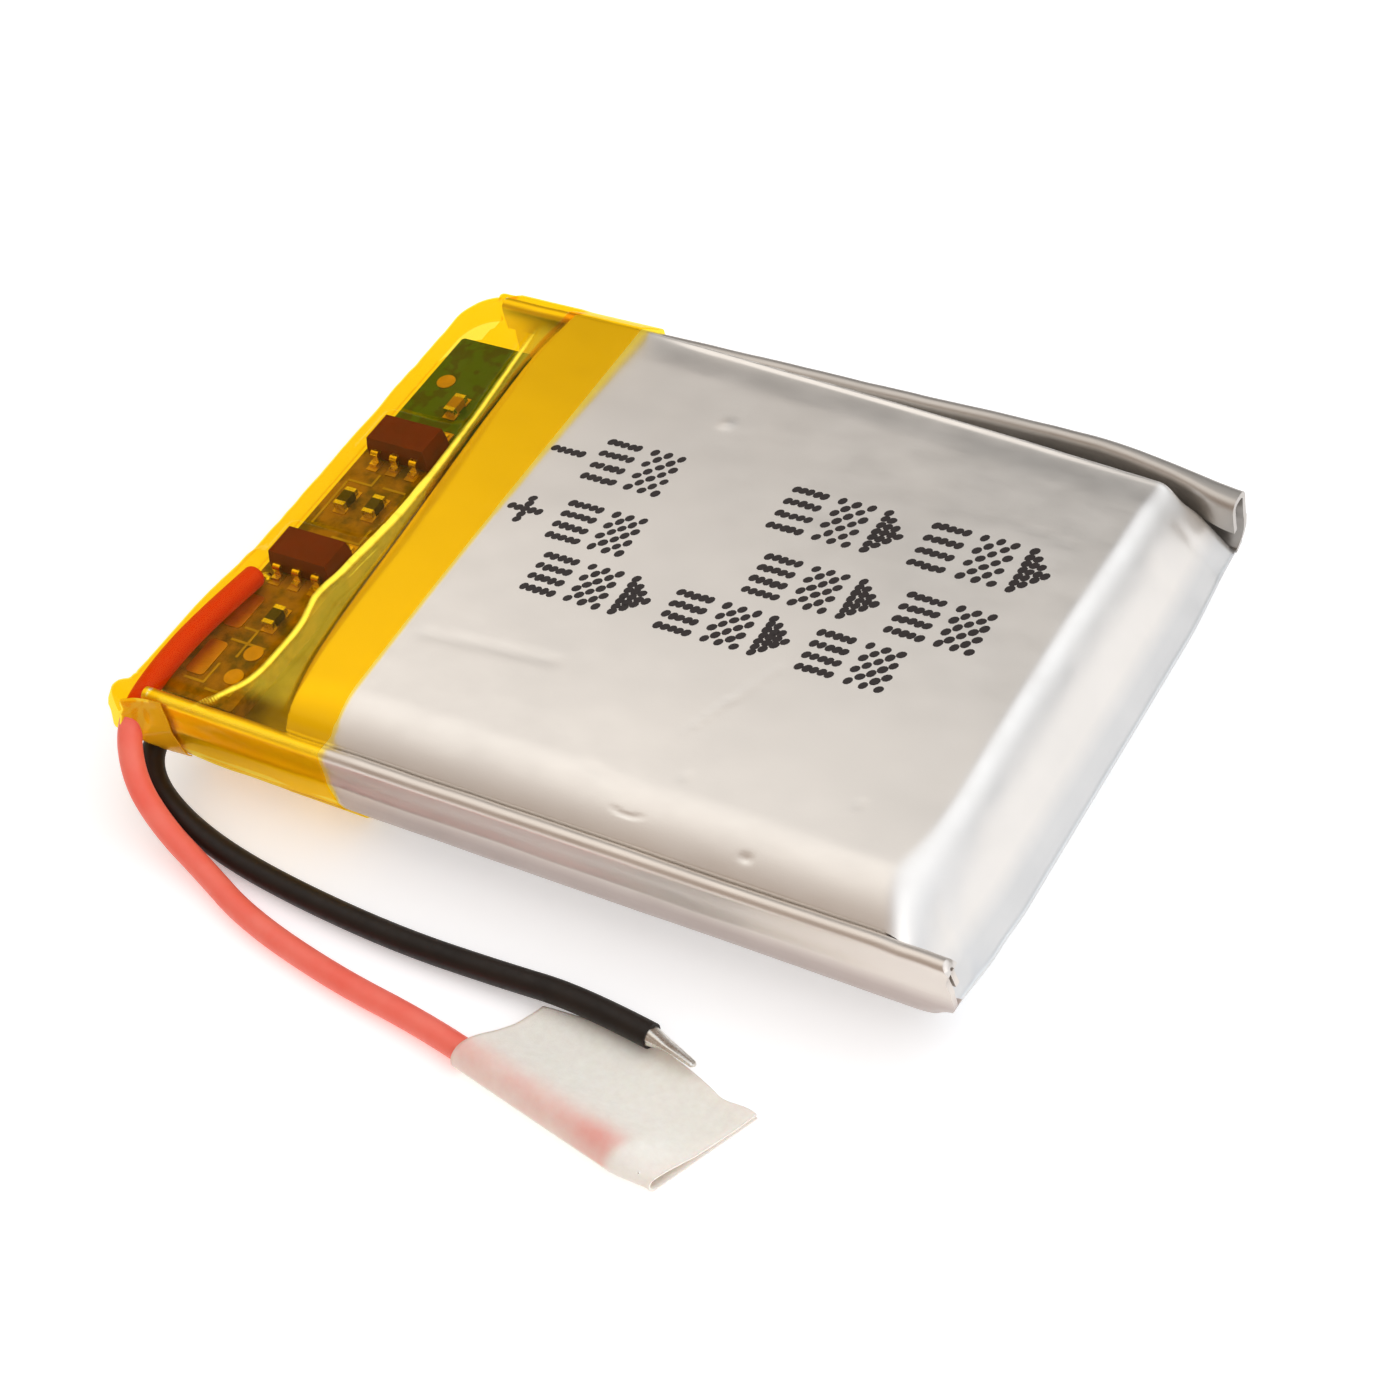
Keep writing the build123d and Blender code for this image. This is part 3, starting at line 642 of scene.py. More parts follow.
def flag_point(along, across):
    """A point of the folded tape: along the lead from 0 to 1, and across in millimetres.

    across runs from the free edge of the lower layer, round the fold at 0, to the free edge of
    the upper layer, so its sign tells the layers apart.
    """
    near, outward, width = flag_edges(along)
    squeeze = step(0.83, 1.0, along)
    nose = FLAG_NOSE * (1 - 0.62 * squeeze)
    centre_z = 0.60 - 0.27 * squeeze
    half_turn = nose * PI / 2
    s = abs(across)
    if s < half_turn:
        angle = PI - s / nose
        reach, rise = nose + nose * math.cos(angle), nose * math.sin(angle)
    else:
        t = (s - half_turn) / 2.3
        fall = math.exp(-((t / 0.62) ** 2))
        reach, rise = nose + (s - half_turn) * (width - nose) / (width - nose + 0.12), nose * fall
    rest = 0.20 if across > 0 else 0.10
    if across > 0:
        if s < half_turn:
            z = max(rest + 0.05, centre_z + rise)
        else:
            z = rest + (centre_z + nose - rest) * (rise / nose)
        z += 0.03 * step(width - 1.0, width, reach) * (0.3 + along)
    else:
        low = min(1.0, s / half_turn)
        z = centre_z - (centre_z - rest) * math.sin(low * PI / 2)
    ripple = 0.025 * float(noise(near[0] + reach, reach * 2.0, 0.9, 41))
    spot = near + outward * (min(reach, width + nose) - nose)
    return (spot[0], spot[1], z + (ripple * step(0.8, 2.2, reach) if across > 0 else 0.0)), reach


def make_flag():
    rows, columns = 61, 130
    points, tint = [], []
    for i in range(rows):
        along = i / (rows - 1)
        width = flag_edges(along)[2] + 0.12
        for j in range(columns):
            across = width * (2 * j / (columns - 1) - 1)
            point, reach = flag_point(along, across)
            points.append(point)
            shown = bump(reach, 0.42, 0.62) * (1 - 0.93 * step(0.80, 0.86, along))
            tint.append(float(shown) * (0.62 + 0.38 * step(0.45, 0.8, along)) if across > 0 else 0.0)
    flag = mesh_piece("paper_flag", points, grid_faces(rows, columns), PAPER_TAPE, 70)
    paint(flag, "lead_tint", tint)
    thicken(flag, FLAG_LAYER, 1.0)
    return flag


paper_flag = place(make_flag(), "paper_tape", "tip_tape_flag")

# ------------------------------------------------------------ pouch

CREST = TOP - 0.04
END_RADIUS = 1.5
SHOULDER_X, SHOULDER_Z = 15.9, 5.0  # where the end face starts to fall towards the fold
CELL_WALL = (  # y across the pack, and x of the wall there
    (-12.5, -11.0, -9.2, -6.2, -1.7, 4.7, 9.0, 12.5),
    (-9.7, -10.15, -10.7, -11.05, -11.35, -11.85, -12.05, -11.6),
)


def back_crest(x):
    """How far back the flat top reaches: the far back corner is drawn in."""
    return 11.2 - 0.0636 * (np.maximum(x, -8.0) + 3)


def fold_line(y):
    """The crease at the folded end bows out in the middle."""
    return 17.46 - 0.10 * step(-7, -9, y) - 0.26 * step(-9, -12, y) - 0.22 * step(6, 11, y)


def cell_wall(y):
    """Where the wall that faces the board stands: it runs askew, further out at the back."""
    return sum(np.interp(y + shift, *CELL_WALL) for shift in (-1.0, -0.5, 0, 0.5, 1.0)) / 5


def pouch_top(x, y):
    """Height of the upper skin over the plane."""
    flat = CREST + 0.04 - 0.0021 * y * y - 0.0005 * (x - 2) ** 2 - 0.02 * bump(x, 3, 6) * bump(y, -2, 5)
    flat = flat + 0.012 * noise(x, y, 3.1, 3) + 0.005 * noise(x, y, 1.1, 4)
    behind = y - back_crest(x)
    flat = flat - 0.12 * step(-1.7, -0.25, behind) * step(0.1, -0.25, behind) * step(-8, -5, x)
    front = CREST + (y + 10.60) * 0.98
    back = CREST - 3.0 * (y - back_crest(x))
    side = soft_min(flat, front, 1.25)
    side = soft_min(side, back, 0.55 + 0.3 * step(8, 15, x))
    # The end face falls from the shoulder to the crease, and the corners are softer than the middle.
    crease = fold_line(y)
    drawn_in = 0.25 * step(-6, -11, y) + 0.15 * step(6, 11, y)
    slope = (SHOULDER_Z - SEAL_Z) / (crease - SHOULDER_X + drawn_in)
    end = SHOULDER_Z - (x - SHOULDER_X + drawn_in) * slope
    end = end + 0.05 * noise(x * 1.4, y, 1.9, 5) * step(15.8, 16.4, x) * step(crease, crease - 0.3, x)
    top = soft_min(side, end, 1.55 + 0.8 * step(-7.5, -10.5, y))
    from_wall = x - cell_wall(y)
    near_wall = np.clip(from_wall, 0, END_RADIUS)
    board_end = CREST - 0.9 + 0.9 * np.sqrt(np.maximum(0.0, 1 - (1 - near_wall / END_RADIUS) ** 2))
    top = np.where(from_wall < END_RADIUS, np.minimum(top, board_end), top)
    top = top + surface_marks(x, y)
    return np.maximum(top, SEAL_Z + 0.06)


PITS = [(9.3, -11.0, 0.13, 0.10), (5.8, -8.9, 0.09, 0.05), (12.0, -7.8, 0.08, 0.05)]  # x, y, size, depth
SCRATCHES = [  # x and y of both ends, width, depth
    (4.8, -7.2, 6.5, -3.3, 0.055, 0.022),
    (5.2, -6.0, 6.1, -4.6, 0.05, 0.014),
    (-7.1, -6.4, -1.2, -5.9, 0.22, 0.018),
    (10.8, 6.2, 13.9, 5.7, 0.10, 0.010),
    (1.9, -9.6, 3.8, -10.1, 0.16, 0.012),
]
END_FOLDS = [  # y where each starts, its lean, width, depth
    (9.1, 0.35, 0.30, 0.08),
    (7.3, 0.2, 0.45, 0.06),
    (-9.8, -0.4, 0.35, 0.07),
    (-6.2, -0.1, 0.8, 0.04),
]


def surface_marks(x, y):
    """Dents, scratches and creases that handling leaves in the soft skin."""
    depth = 0.09 * bump(np.hypot(x + 1.8, (y - 7.4) * 1.2), 0.0, 0.2)  # a small blister
    ring = np.hypot((x - 4.5) / 0.58, (y + 10.70) / 0.24)
    crescent = bump(ring, 1.0, 0.16) * step(-10.72, -10.85, y)
    depth = depth - 0.055 * crescent
    for px, py, size, deep in PITS:
        depth = depth - deep * bump(np.hypot(x - px, y - py), 0.0, size)
    for ax, ay, bx, by, wide, deep in SCRATCHES:
        length = math.hypot(bx - ax, by - ay)
        along = ((x - ax) * (bx - ax) + (y - ay) * (by - ay)) / length
        off = ((x - ax) * (by - ay) - (y - ay) * (bx - ax)) / length
        line = bump(off, 0.0, wide) * step(-0.4, 0.5, along) * step(length + 0.4, length - 0.5, along)
        depth = depth - 1.7 * deep * line
    # The pinch where the far back corner was drawn in, and folds running down the end face from it.
    depth = depth - 0.28 * bump(x, 15.6, 0.35) * bump(y, 10.35, 0.35)
    for py, lean, wide, deep in END_FOLDS:
        fold = bump(y - py - lean * (x - SHOULDER_X), 0.0, wide) * step(15.6, 16.3, x) * step(17.4, 16.9, x)
        depth = depth - 1.6 * deep * fold
    pit = bump(np.hypot((x - 16.6) * 2.0, y - 4.2), 0.0, 0.12)
    return depth - 0.08 * pit


def pouch_bottom(x, y):
    """Height of the lower skin over the plane."""
    flat = BOTTOM - 0.01 * np.cos(x / 10) + 0.02
    side = soft_max(flat + np.zeros_like(y), 0.9 + (np.abs(y) - 11.15) * 1.6, 0.5)
    crease = fold_line(y)
    end = SEAL_Z - (crease - x) * (SEAL_Z - 0.55) / (crease - 16.1)
    from_wall = x - cell_wall(y)
    wall = 0.62 - np.sqrt(np.maximum(0.0, 0.36 - (0.6 - np.clip(from_wall, 0, 0.6)) ** 2))
    low = soft_max(side, end, 0.5)
    low = np.where(from_wall < 0.6, np.maximum(low, wall), low)
    return np.minimum(low, SEAL_Z - 0.06)


def graded(low, high, coarse, fine, margins):
    """Stations from low to high, closer together near the places in margins."""
    stations = [low]
    while stations[-1] < high - 1e-6:
        gap = min(abs(stations[-1] - m) for m in margins)
        stations.append(stations[-1] + fine + (coarse - fine) * min(1.0, gap / 2.2))
    stations[-1] = high
    return np.array(stations)


def skin_mesh():
    """The two cups as one closed skin: the drawn top, the shallow bottom and the walls between."""
    across = graded(-HALF_WIDTH, HALF_WIDTH, 0.22, 0.045, (-11.4, 11.5, 10.6))
    along = np.concatenate(([CELL_X], graded(CELL_X + 0.012, FOLD_X, 0.20, 0.05, (-11.4, 15.6, 17.3))))
    nx, ny = len(along), len(across)
    u = (along - CELL_X) / (FOLD_X - CELL_X)
    wall = cell_wall(across)[None, :]
    grid_x = wall + u[:, None] * (fold_line(across)[None, :] - wall)
    grid_y = np.repeat(across[None, :], nx, 0)
    top = pouch_top(grid_x, grid_y)
    low = pouch_bottom(grid_x, grid_y)
    top[-1, :] = SEAL_Z + 0.06
    low[-1, :] = SEAL_Z - 0.06
    upper = np.stack([grid_x, grid_y, top], -1).reshape(-1, 3)
    lower = np.stack([grid_x, grid_y, low], -1).reshape(-1, 3)
    points = np.concatenate([upper, lower])
    count = nx * ny
    faces = [*grid_faces(nx, ny), *grid_faces(nx, ny, count, flip=True)]
    rim = [(i, 0) for i in range(nx)] + [(nx - 1, j) for j in range(1, ny)]
    rim += [(i, ny - 1) for i in range(nx - 2, -1, -1)] + [(0, j) for j in range(ny - 2, 0, -1)]
    loop = [i * ny + j for i, j in rim]
    for a, b in zip(loop, loop[1:] + loop[:1]):
        faces.append((a, a + count, b + count, b))
    return points, faces


def terrace_mesh():
    """The flat seal that the board lies over: two films, a little wavy at the cut edge."""
    rows, columns = 24, 90
    xs, ys = np.linspace(TERRACE_X, CELL_X + 0.2, rows), np.linspace(-HALF_WIDTH, HALF_WIDTH, columns)
    gx, gy = np.meshgrid(xs, ys, indexing="ij")
    points, faces = [], []
    for index, z in enumerate((2.07, 1.63)):
        wave = 0.03 * noise(gx, gy, 2.0, 8) * step(CELL_X, TERRACE_X, gx)
        points.append(np.stack([gx, gy, z + wave], -1).reshape(-1, 3))
        faces += [*grid_faces(rows, columns, index * rows * columns, flip=index == 1)]
    return np.concatenate(points), faces


skin = mesh_piece("pouch_skin", *skin_mesh(), LAMINATE, 55)
place(skin, "laminate", "upper_cup", "lower_cup")
terrace = mesh_piece("terrace_films", *terrace_mesh(), LAMINATE, 55)
thicken(terrace, 0.09, 0.0)
place(terrace, "laminate")

# ------------------------------------------------------------ side seals

RAIL_START, RAIL_END = RAIL_LOW[0], RAIL_HIGH[0]
FRONT_SEAL_START = -16.45
FOIL = 0.12


def arc(cx, cz, radius, start, stop, count):
    angles = np.radians(np.linspace(start, stop, count))
    return [(cx + radius * math.cos(a), cz + radius * math.sin(a)) for a in angles]


def rail_centreline(x, side):
    """The folded flange at one station, as (outward, z) points of its middle line."""
    wave = 0.035 * float(noise(x, side * 3.0, 2.6, 11)) + 0.02 * float(noise(x, side * 5.0, 0.9, 12))
    far = float(step(14.5, 17.5, x))
    if side < 0:
        top = 4.80 + wave - 0.10 * far - 0.05 * float(bump(x, 15.6, 0.5))
        foot = 1.72 + 0.45 * float(step(15.6, 17.5, x)) ** 2
        inner, outer, bend_in, tuck = 11.88, 12.29 + 0.4 * wave, 0.0, 3.55
    else:
        top = 4.80 + wave - 0.14 * far
        foot = 1.72 + 0.15 * far
        bend_in = 1.45 * float(step(9.0, 18.5, x)) ** 1.35
        inner, outer, tuck = 11.88 - 0.75 * bend_in - 0.30 * far, 12.29 - 0.62 * bend_in, 3.6 - 0.2 * far
    mid = 3.42 + 0.08 * float(noise(x, 1.0, 3.0, 13))
    r = 0.19 + 0.10 * far * (side > 0)
    belly = outer + 0.03
    return [
        (11.62 - 0.2 * bend_in, foot + 0.06),
        *arc(outer - 0.36, foot + 0.18, 0.18, -90, -25, 5),
        (outer - 0.03, foot + 0.55), (belly - 0.03, mid - 0.45),
        (belly + 0.005, mid - 0.12), (belly + 0.02, mid),
        (belly - 0.03, mid + 0.16), (outer - 0.02, mid + 0.7),
        *arc(outer - r, top - r, r, 0, 90, 6),
        *arc(inner + r, top - r, r, 90, 180, 6),
        (inner, tuck + 0.6), (inner + 0.05, tuck),
    ]


def offset_loop(points, half):
    """A closed outline, half either side of a middle line."""
    p = np.array(points)
    ahead = np.gradient(p, axis=0)
    ahead /= np.maximum(1e-9, np.linalg.norm(ahead, axis=1))[:, None]
    normal = np.stack([-ahead[:, 1], ahead[:, 0]], 1)
    return np.concatenate([p + normal * half, (p - normal * half)[::-1]])


def rail_mesh(side):
    start = FRONT_SEAL_START if side < 0 else RAIL_START
    stations = graded(start, RAIL_END, 0.28, 0.07, (start, 16.8))
    rings = []
    for x in stations:
        loop = offset_loop(rail_centreline(x, side), FOIL)
        count = len(loop)
        cut = 0.0
        if x > RAIL_END - 0.9:
            t = (x - (RAIL_END - 0.9)) / 0.9
            z = loop[:, 1]
            ragged = 0.28 * np.abs(np.sin(z * 4.2)) * step(3.2, 4.6, z)
            cut = t * (ragged + 0.5 * step(2.8, 1.6, z)) * (side < 0)
            cut = cut + t * 0.25 * step(3.0, 1.6, z) * (side > 0)
        rings.append(np.stack([x - cut + np.zeros(count), side * loop[:, 0], loop[:, 1]], 1))
    count = len(rings[0])
    faces = loop_faces(count, len(rings), flip=True)
    for start in (0, (len(rings) - 1) * count):
        for j in range(count // 2 - 1):
            quad = (start + j, start + j + 1, start + count - 2 - j, start + count - 1 - j)
            faces.append(quad[::-1] if start else quad)
    # The back seal is mirrored, which turns its faces over.
    return np.concatenate(rings), faces if side < 0 else [face[::-1] for face in faces]


for side, name in ((-1, "side_seal_front"), (1, "side_seal_back")):
    rail = mesh_piece(f"folded_{name}", *rail_mesh(side), FRONT_SEAL_PAINTED_SHADE if side < 0 else BACK_SEAL_PAINTED_SHADE, 60)
    place(rail, "laminate", name)

# ------------------------------------------------------------ polyimide tape

TAPE_FILM = 0.05
UNDERSIDE_Z = 0.056  # the film's inner side under the pack; its outer side is a film lower
NOSE_Z = 3.30
NOSE_START = -16.75
LEAD_OPENING_X = -17.32  # the front wall is open past here, where the leads come out
RIDGE_X = -12.3
OVER_RAIL_Z = 5.03
RIDGE = (  # y across the pack, and x of the crease there
    (-12.5, -13.9), (-11.77, -13.25), (-10.9, -12.55), (-10.04, -12.25), (-7.52, -12.17),
    (-6.1, -12.55), (-5.61, -12.67), (-5.0, -12.45), (-1.14, -12.08), (1.87, -12.08),
    (5.5, -12.3), (8.95, -12.65), (12.5, -13.3),
)
TOP_STATIONS = np.concatenate([
    np.linspace(-12.38, -11.4, 12)[:-1],
    np.linspace(-11.4, -10.0, 16)[:-1],
    np.linspace(-10.0, 10.0, 120)[:-1],
    np.linspace(10.0, 12.38, 24),
])


def line_through(y, *knots):
    """A smooth line x(y) through (y, x) knots."""
    ys, xs = zip(*sorted(knots))
    return sum(np.interp(y + shift, ys, xs) for shift in (-0.5, -0.25, 0, 0.25, 0.5)) / 5


def ridge_line(y):
    """Where the tape is creased between the board and the cell."""
    return line_through(y, *RIDGE)


def cell_edge(y):
    """Where the tape comes down on the cell, a little uneven."""
    return cell_wall(y) + 0.05 + 0.05 * noise(0 * y, y, 0.8, 28)


def over_cell(x, y):
    """The band where it lies on the pouch and bridges to the folded seals."""
    skin_z = pouch_top(np.maximum(x, cell_wall(y) + 0.3), np.clip(y, -11.68, 11.3)) + 0.075
    bridge = np.where(y > 0, 6.0 - 0.84 * (y - 11.15), OVER_RAIL_Z)
    return soft_max(np.where(y > 11.25, 0, skin_z), np.minimum(bridge, 6.0), 0.06)


def over_board(x, y):
    """The tape over the board: carried by the chips and the red lead, and slack between them."""
    z = 4.66 + 0.05 * noise(x * 1.3, y, 1.6, 21) + 0.02 * noise(x, y, 0.55, 22)
    for low, high in ((IC_LOW, IC_HIGH), (FET_LOW, FET_HIGH)):
        cy = (low[1] + high[1]) / 2
        hold = step(2.1, 0.75, np.abs(y - cy)) * step(-17.2, -16.0, x)
        z = soft_max(z, 4.4 + (high[2] + 0.07 - 4.4) * hold, 0.12)
    wire_x = np.interp(y, (-12.9, -10.5, -7.9, -5.3), (-17.05, -16.85, -16.72, -16.30))
    wire = step(1.25, 0.35, np.abs(x - wire_x)) * step(-2.6, -4.9, y)
    z = soft_max(z, 4.2 + 0.93 * wire, 0.1)
    at_rail = step(11.0, 12.0, np.abs(y)) * step(-16.5, -15.7, x)
    return z + (OVER_RAIL_Z - z) * at_rail


def tape_top(x, y):
    """Height of the tape's outer side."""
    ridge, edge = ridge_line(y), cell_edge(y)
    board = over_board(x, y)
    near = step(ridge - 1.3, ridge, x)
    board = board + (5.02 - board) * near
    rise = step(edge - 0.22, edge + 0.42, x)
    fall = board * (1 - rise) + over_cell(x, y) * rise
    from_wall = x - cell_wall(y)
    shoulder = pouch_top(np.maximum(from_wall, 0.0) + cell_wall(y) + 0.05, np.clip(y, -11.0, 11.0)) + 0.07
    on_shoulder = step(-0.28, -0.06, from_wall) * step(11.6, 11.0, np.abs(y))
    fall = fall + np.maximum(0.0, shoulder - fall) * on_shoulder
    beyond = x - ridge
    lifted = 0.30 * bump(beyond, 0.02, 0.30) + 0.5 * step(-0.1, 0.1, beyond)
    crest = soft_min(lifted, 0.30 - 0.55 * beyond, 0.05)
    crest = np.where(beyond > 0.9, 0.0, soft_max(crest, -0.10 + 0.0 * x, 0.06) * step(0.9, 0.6, beyond))
    crest = crest * (0.55 + 0.45 * step(-12.4, -11.0, y)) * step(11.5, 8.5, y)
    small = ridges(x * 2.2, y, 0.7, 23) * 0.035 * bump(x, ridge + 0.2, 0.8) * step(10, 7, y)
    corner = bump(np.hypot(x + 16.9, y + 12.1), 0.0, 0.9) * (ridges(x, y, 0.35, 26) - 0.6) * 0.22
    return fall + crest + small + corner


WALL = (  # height, distance from the middle of the pack
    (4.86, 12.46), (4.60, 12.48), (4.20, 12.47), (3.75, 12.49), (3.45, 12.53), (3.20, 12.50), (2.80, 12.44),
    (2.40, 12.38), (2.05, 12.31), (1.80, 12.22), (1.62, 12.08), (1.53, 11.90),
)
UNDER = ((1.48, 11.75), (1.20, 11.68), (0.75, 11.56), (0.35, 11.34), (0.10, 11.05))


def back_corner(y):
    """How far the rounded back corner of the tape is drawn in from its end."""
    return 1.5 * (1 - np.sqrt(1 - np.clip((y - 10.6) / 1.82, 0, 0.985) ** 2))


def tape_ring(x):
    """The band's outline at one station, as a closed loop of points in 3-D, from the front foot up."""
    # Past the nose's start the outline closes up on a rounded edge.
    depth = max(0.0, (NOSE_START - x) / (NOSE_START - NOSE_X))
    close = (1 - depth**2.6) ** (1 / 2.6)
    left = float(step(-12.5, -17.0, x))
    y = TOP_STATIONS
    ridge = ridge_line(y)
    follow = step(-16.3, -13.2, x) * step(-10.0, -11.7, x) * step(12.3, 11.4, np.abs(y))
    xs = x + (ridge - RIDGE_X) * follow
    top = NOSE_Z + (tape_top(xs, y) - NOSE_Z) * close
    plan = back_corner(y) * left
    loop = 0.62 * step(-11.7, -12.35, y) * depth**0.6
    upper = np.stack([xs + plan - loop, y, top], 1)
    z, wide = np.array(WALL).T
    wide = wide + 0.03 * noise(x * 1.2 + 0 * z, z, 1.3, 25) * step(-8.3, -9.5, x)
    pocket = step(-15.4, -16.8, x) * bump(z, 3.6, 1.5)
    crumpled = wide + pocket * (0.50 + 0.16 * noise(x * 2 + 0 * z, z * 2, 0.5, 27))
    lift = 0.5 * step(-14.0, -17.0, x) * step(2.8, 1.6, z)
    high = NOSE_Z + (z + lift - NOSE_Z) * close
    turned = back_corner(12.38) * left
    back_wall = np.stack([x + turned + 0 * z, wide, high], 1)
    front_wall = np.stack([x - 0.62 * depth**0.6 + 0 * z, -crumpled, high], 1)[::-1]
    z, wide = np.array(UNDER).T
    flat = float(step(-12.9, -11.5, x))
    sink = NOSE_Z + (1.45 + (z - 1.45) * flat - NOSE_Z) * close
    back_under = np.stack([x + 0.9 * turned + 0 * z, wide, sink], 1)
    front_under = np.stack([x + 0 * z, -wide, sink], 1)[::-1]
    y_low = np.linspace(10.8, -10.8, 50)
    low = 1.42 + 0.05 * noise(x + 0 * y_low, y_low, 2.3, 24)
    low = NOSE_Z + (low + (UNDERSIDE_Z - low) * flat - NOSE_Z) * close
    lower = np.stack([x + 0.6 * left * step(9.0, 10.8, y_low), y_low, low], 1)
    ring = np.concatenate([front_wall, upper, back_wall, back_under, lower, front_under])
    # crease holds painted light for the film's material: painted highlights along the ridge, a second line,
    # a pleat and the front rim, and a painted haze.
    crease = np.zeros(len(ring))
    breadth = 0.060 + 0.045 * bump(y, -1.5, 3.5)
    lit = 1.7 * bump(xs, ridge + 0.05, breadth) * step(-12.2, -11.2, y) * step(11.0, 8.8, y)
    lit = lit * (0.55 + 0.45 * step(4.5, 1.5, y))
    second_highlight = 0.35 * bump(xs, ridge + 0.36, 0.05) * bump(y, -3.6, 1.6)
    pleat_highlight = 0.8 * bump(xs, -13.6 + 0.45 * (y + 12), 0.06) * bump(y, -11.6, 0.5)
    rim = 0.55 * bump(y, -12.34, 0.05) * step(-15.6, -15.2, xs)
    # Between the ridge and the cell, where the film bridges the gap, a faint painted haze of yellow light is
    # laid over the shade.
    bridging = step(0.0, 0.3, xs - ridge) * step(0.1, -0.25, xs - cell_edge(y))
    painted_haze = 0.17 * bridging * step(11.3, 10.3, np.abs(y))
    crease[len(WALL):len(WALL) + len(y)] = np.minimum(1, np.maximum.reduce([lit, second_highlight, pleat_highlight, rim, painted_haze]))
    return ring, crease


def tape_mesh():
    """One sheet round the pack, closed over the board end and open where the leads come out."""
    nose = NOSE_START - (NOSE_START - NOSE_X) * np.sin(np.linspace(0, PI / 2, 14))
    finer_near = (RIDGE_X, RIDGE_X + 0.12, -11.4, NOSE_START)
    stations = np.concatenate([nose[::-1], graded(NOSE_START + 0.08, TAPE_EDGE_X, 0.16, 0.03, finer_near)])
    rings, painted_highlights = zip(*[tape_ring(x) for x in stations])
    count = len(rings[0])
    faces = []
    for i, x in enumerate(stations[:-1]):
        kept = slice(None) if x > LEAD_OPENING_X else slice(len(WALL), count - len(UNDER))
        faces += loop_faces(count, start=i * count)[kept]
    return np.concatenate(rings), faces, np.concatenate(painted_highlights)


def film_piece(name, mesh, material, offset):
    """A sheet of tape, from its points, its faces and how much painted highlight each point carries."""
    points, faces, painted_highlights = mesh
    film = mesh_piece(name, points, faces, material, 80)
    paint(film, "crease", painted_highlights)
    thicken(film, TAPE_FILM, offset)
    return film


place(film_piece("polyimide_wrap", tape_mesh(), POLYIMIDE, -1.0), "polyimide", "tape_band", "end_tape")

RED_PATH = lead_path(RED_ROUTE)


def tuck_mesh():
    """The tape's folded end at the lead corner, gathered against the red lead with a ragged edge."""
    rows, columns = 46, 54
    t, s = np.meshgrid(np.linspace(0, 1, rows), np.linspace(0, 1, columns), indexing="ij")
    gather = s**1.5
    ragged = 0.07 * noise(t * 9, 0 * t, 0.8, 33) * s**6 + 0.10 * bump(t, 0.30, 0.16) * s**4
    x = -15.3 - 1.62 * s - 0.20 * s * t + ragged
    bulge = 0.92 * bump(t, 0.52, 0.40) * gather
    puckers = 0.09 * (ridges(t * 5.0 + s * 1.2, s * 0.8, 0.42, 34) - 0.6) * step(0.45, 0.9, s)
    low = 1.62 + 0.75 * s**2 + 0.05 * noise(s * 6, 0 * s, 0.7, 35)
    z = low + (4.97 - 0.22 * s**3 - low) * t
    heights, widths = zip(*sorted(WALL))
    y = -np.interp(z, heights, widths) - 0.06 - bulge - puckers
    # Painted highlight: a bright, faintly glowing line along the ragged edge and along the top of the fold.
    edge = bump(s, 0.985, 0.02) * step(0.15, 0.3, t) * step(1.0, 0.9, t)
    edge = edge + 0.5 * bump(t, 0.99, 0.02) * (s > 0.3)
    points = np.stack([x, y, z], -1).reshape(-1, 3)
    return points, grid_faces(rows, columns), np.minimum(edge, 1).ravel()


place(film_piece("polyimide_tuck", tuck_mesh(), FOLDED_POLYIMIDE, 0.0), "polyimide")

CAP_RADIUS = 0.474
CAP_REACH = 0.34
CAP_OVERLAP = 0.02
CAP_RINGS, CAP_SIDES = 12, 48


def make_cap():
    """The red lead's end, melted round where it was stripped."""
    backward = RED_PATH[0] - RED_PATH[1]
    backward = backward / np.linalg.norm(backward)
    side = np.cross((0, 0, 1), backward)
    side = side / np.linalg.norm(side)
    angles = np.linspace(0, 2 * PI, CAP_SIDES)[:, None]
    around = np.cos(angles) * side + np.sin(angles) * np.cross(backward, side)
    rows = []
    for t in np.linspace(0, 1, CAP_RINGS):
        centre = RED_PATH[0] + backward * (CAP_REACH - (CAP_REACH + CAP_OVERLAP) * t)
        rows.append(centre + CAP_RADIUS * math.sqrt(1 - (1 - t) ** 2.2) * around)
    return mesh_piece("red_lead_cap", np.concatenate(rows), grid_faces(CAP_RINGS, CAP_SIDES), RED_PVC, 70)


place(make_cap(), "red_pvc")

# ------------------------------------------------------------ printed marks

DOT_X = 0.305
DOT_RADIUS = 0.185
DOT_JITTER = 0.012
DOT_SLANT = 0.05
DOT_TOP = 0.93  # the size of a dot's raised top, next to its foot
DOT_HEIGHT = 0.012
DOT_SIDES = 10


def pattern(rows):
    """Cells of a small dot-matrix sign, from strings with # where the head fired."""
    cells = [(c, len(rows) - 1 - r, mark) for r, row in enumerate(rows) for c, mark in enumerate(row)]
    return [(column, row) for column, row, mark in cells if mark == "#"]


MINUS = [pattern([".....", ".....", ".....", "#####", ".....", ".....", "....."])]
PLUS = [pattern([".....", "..#..", "..#..", "#####", "..#..", "..#..", "....."])]
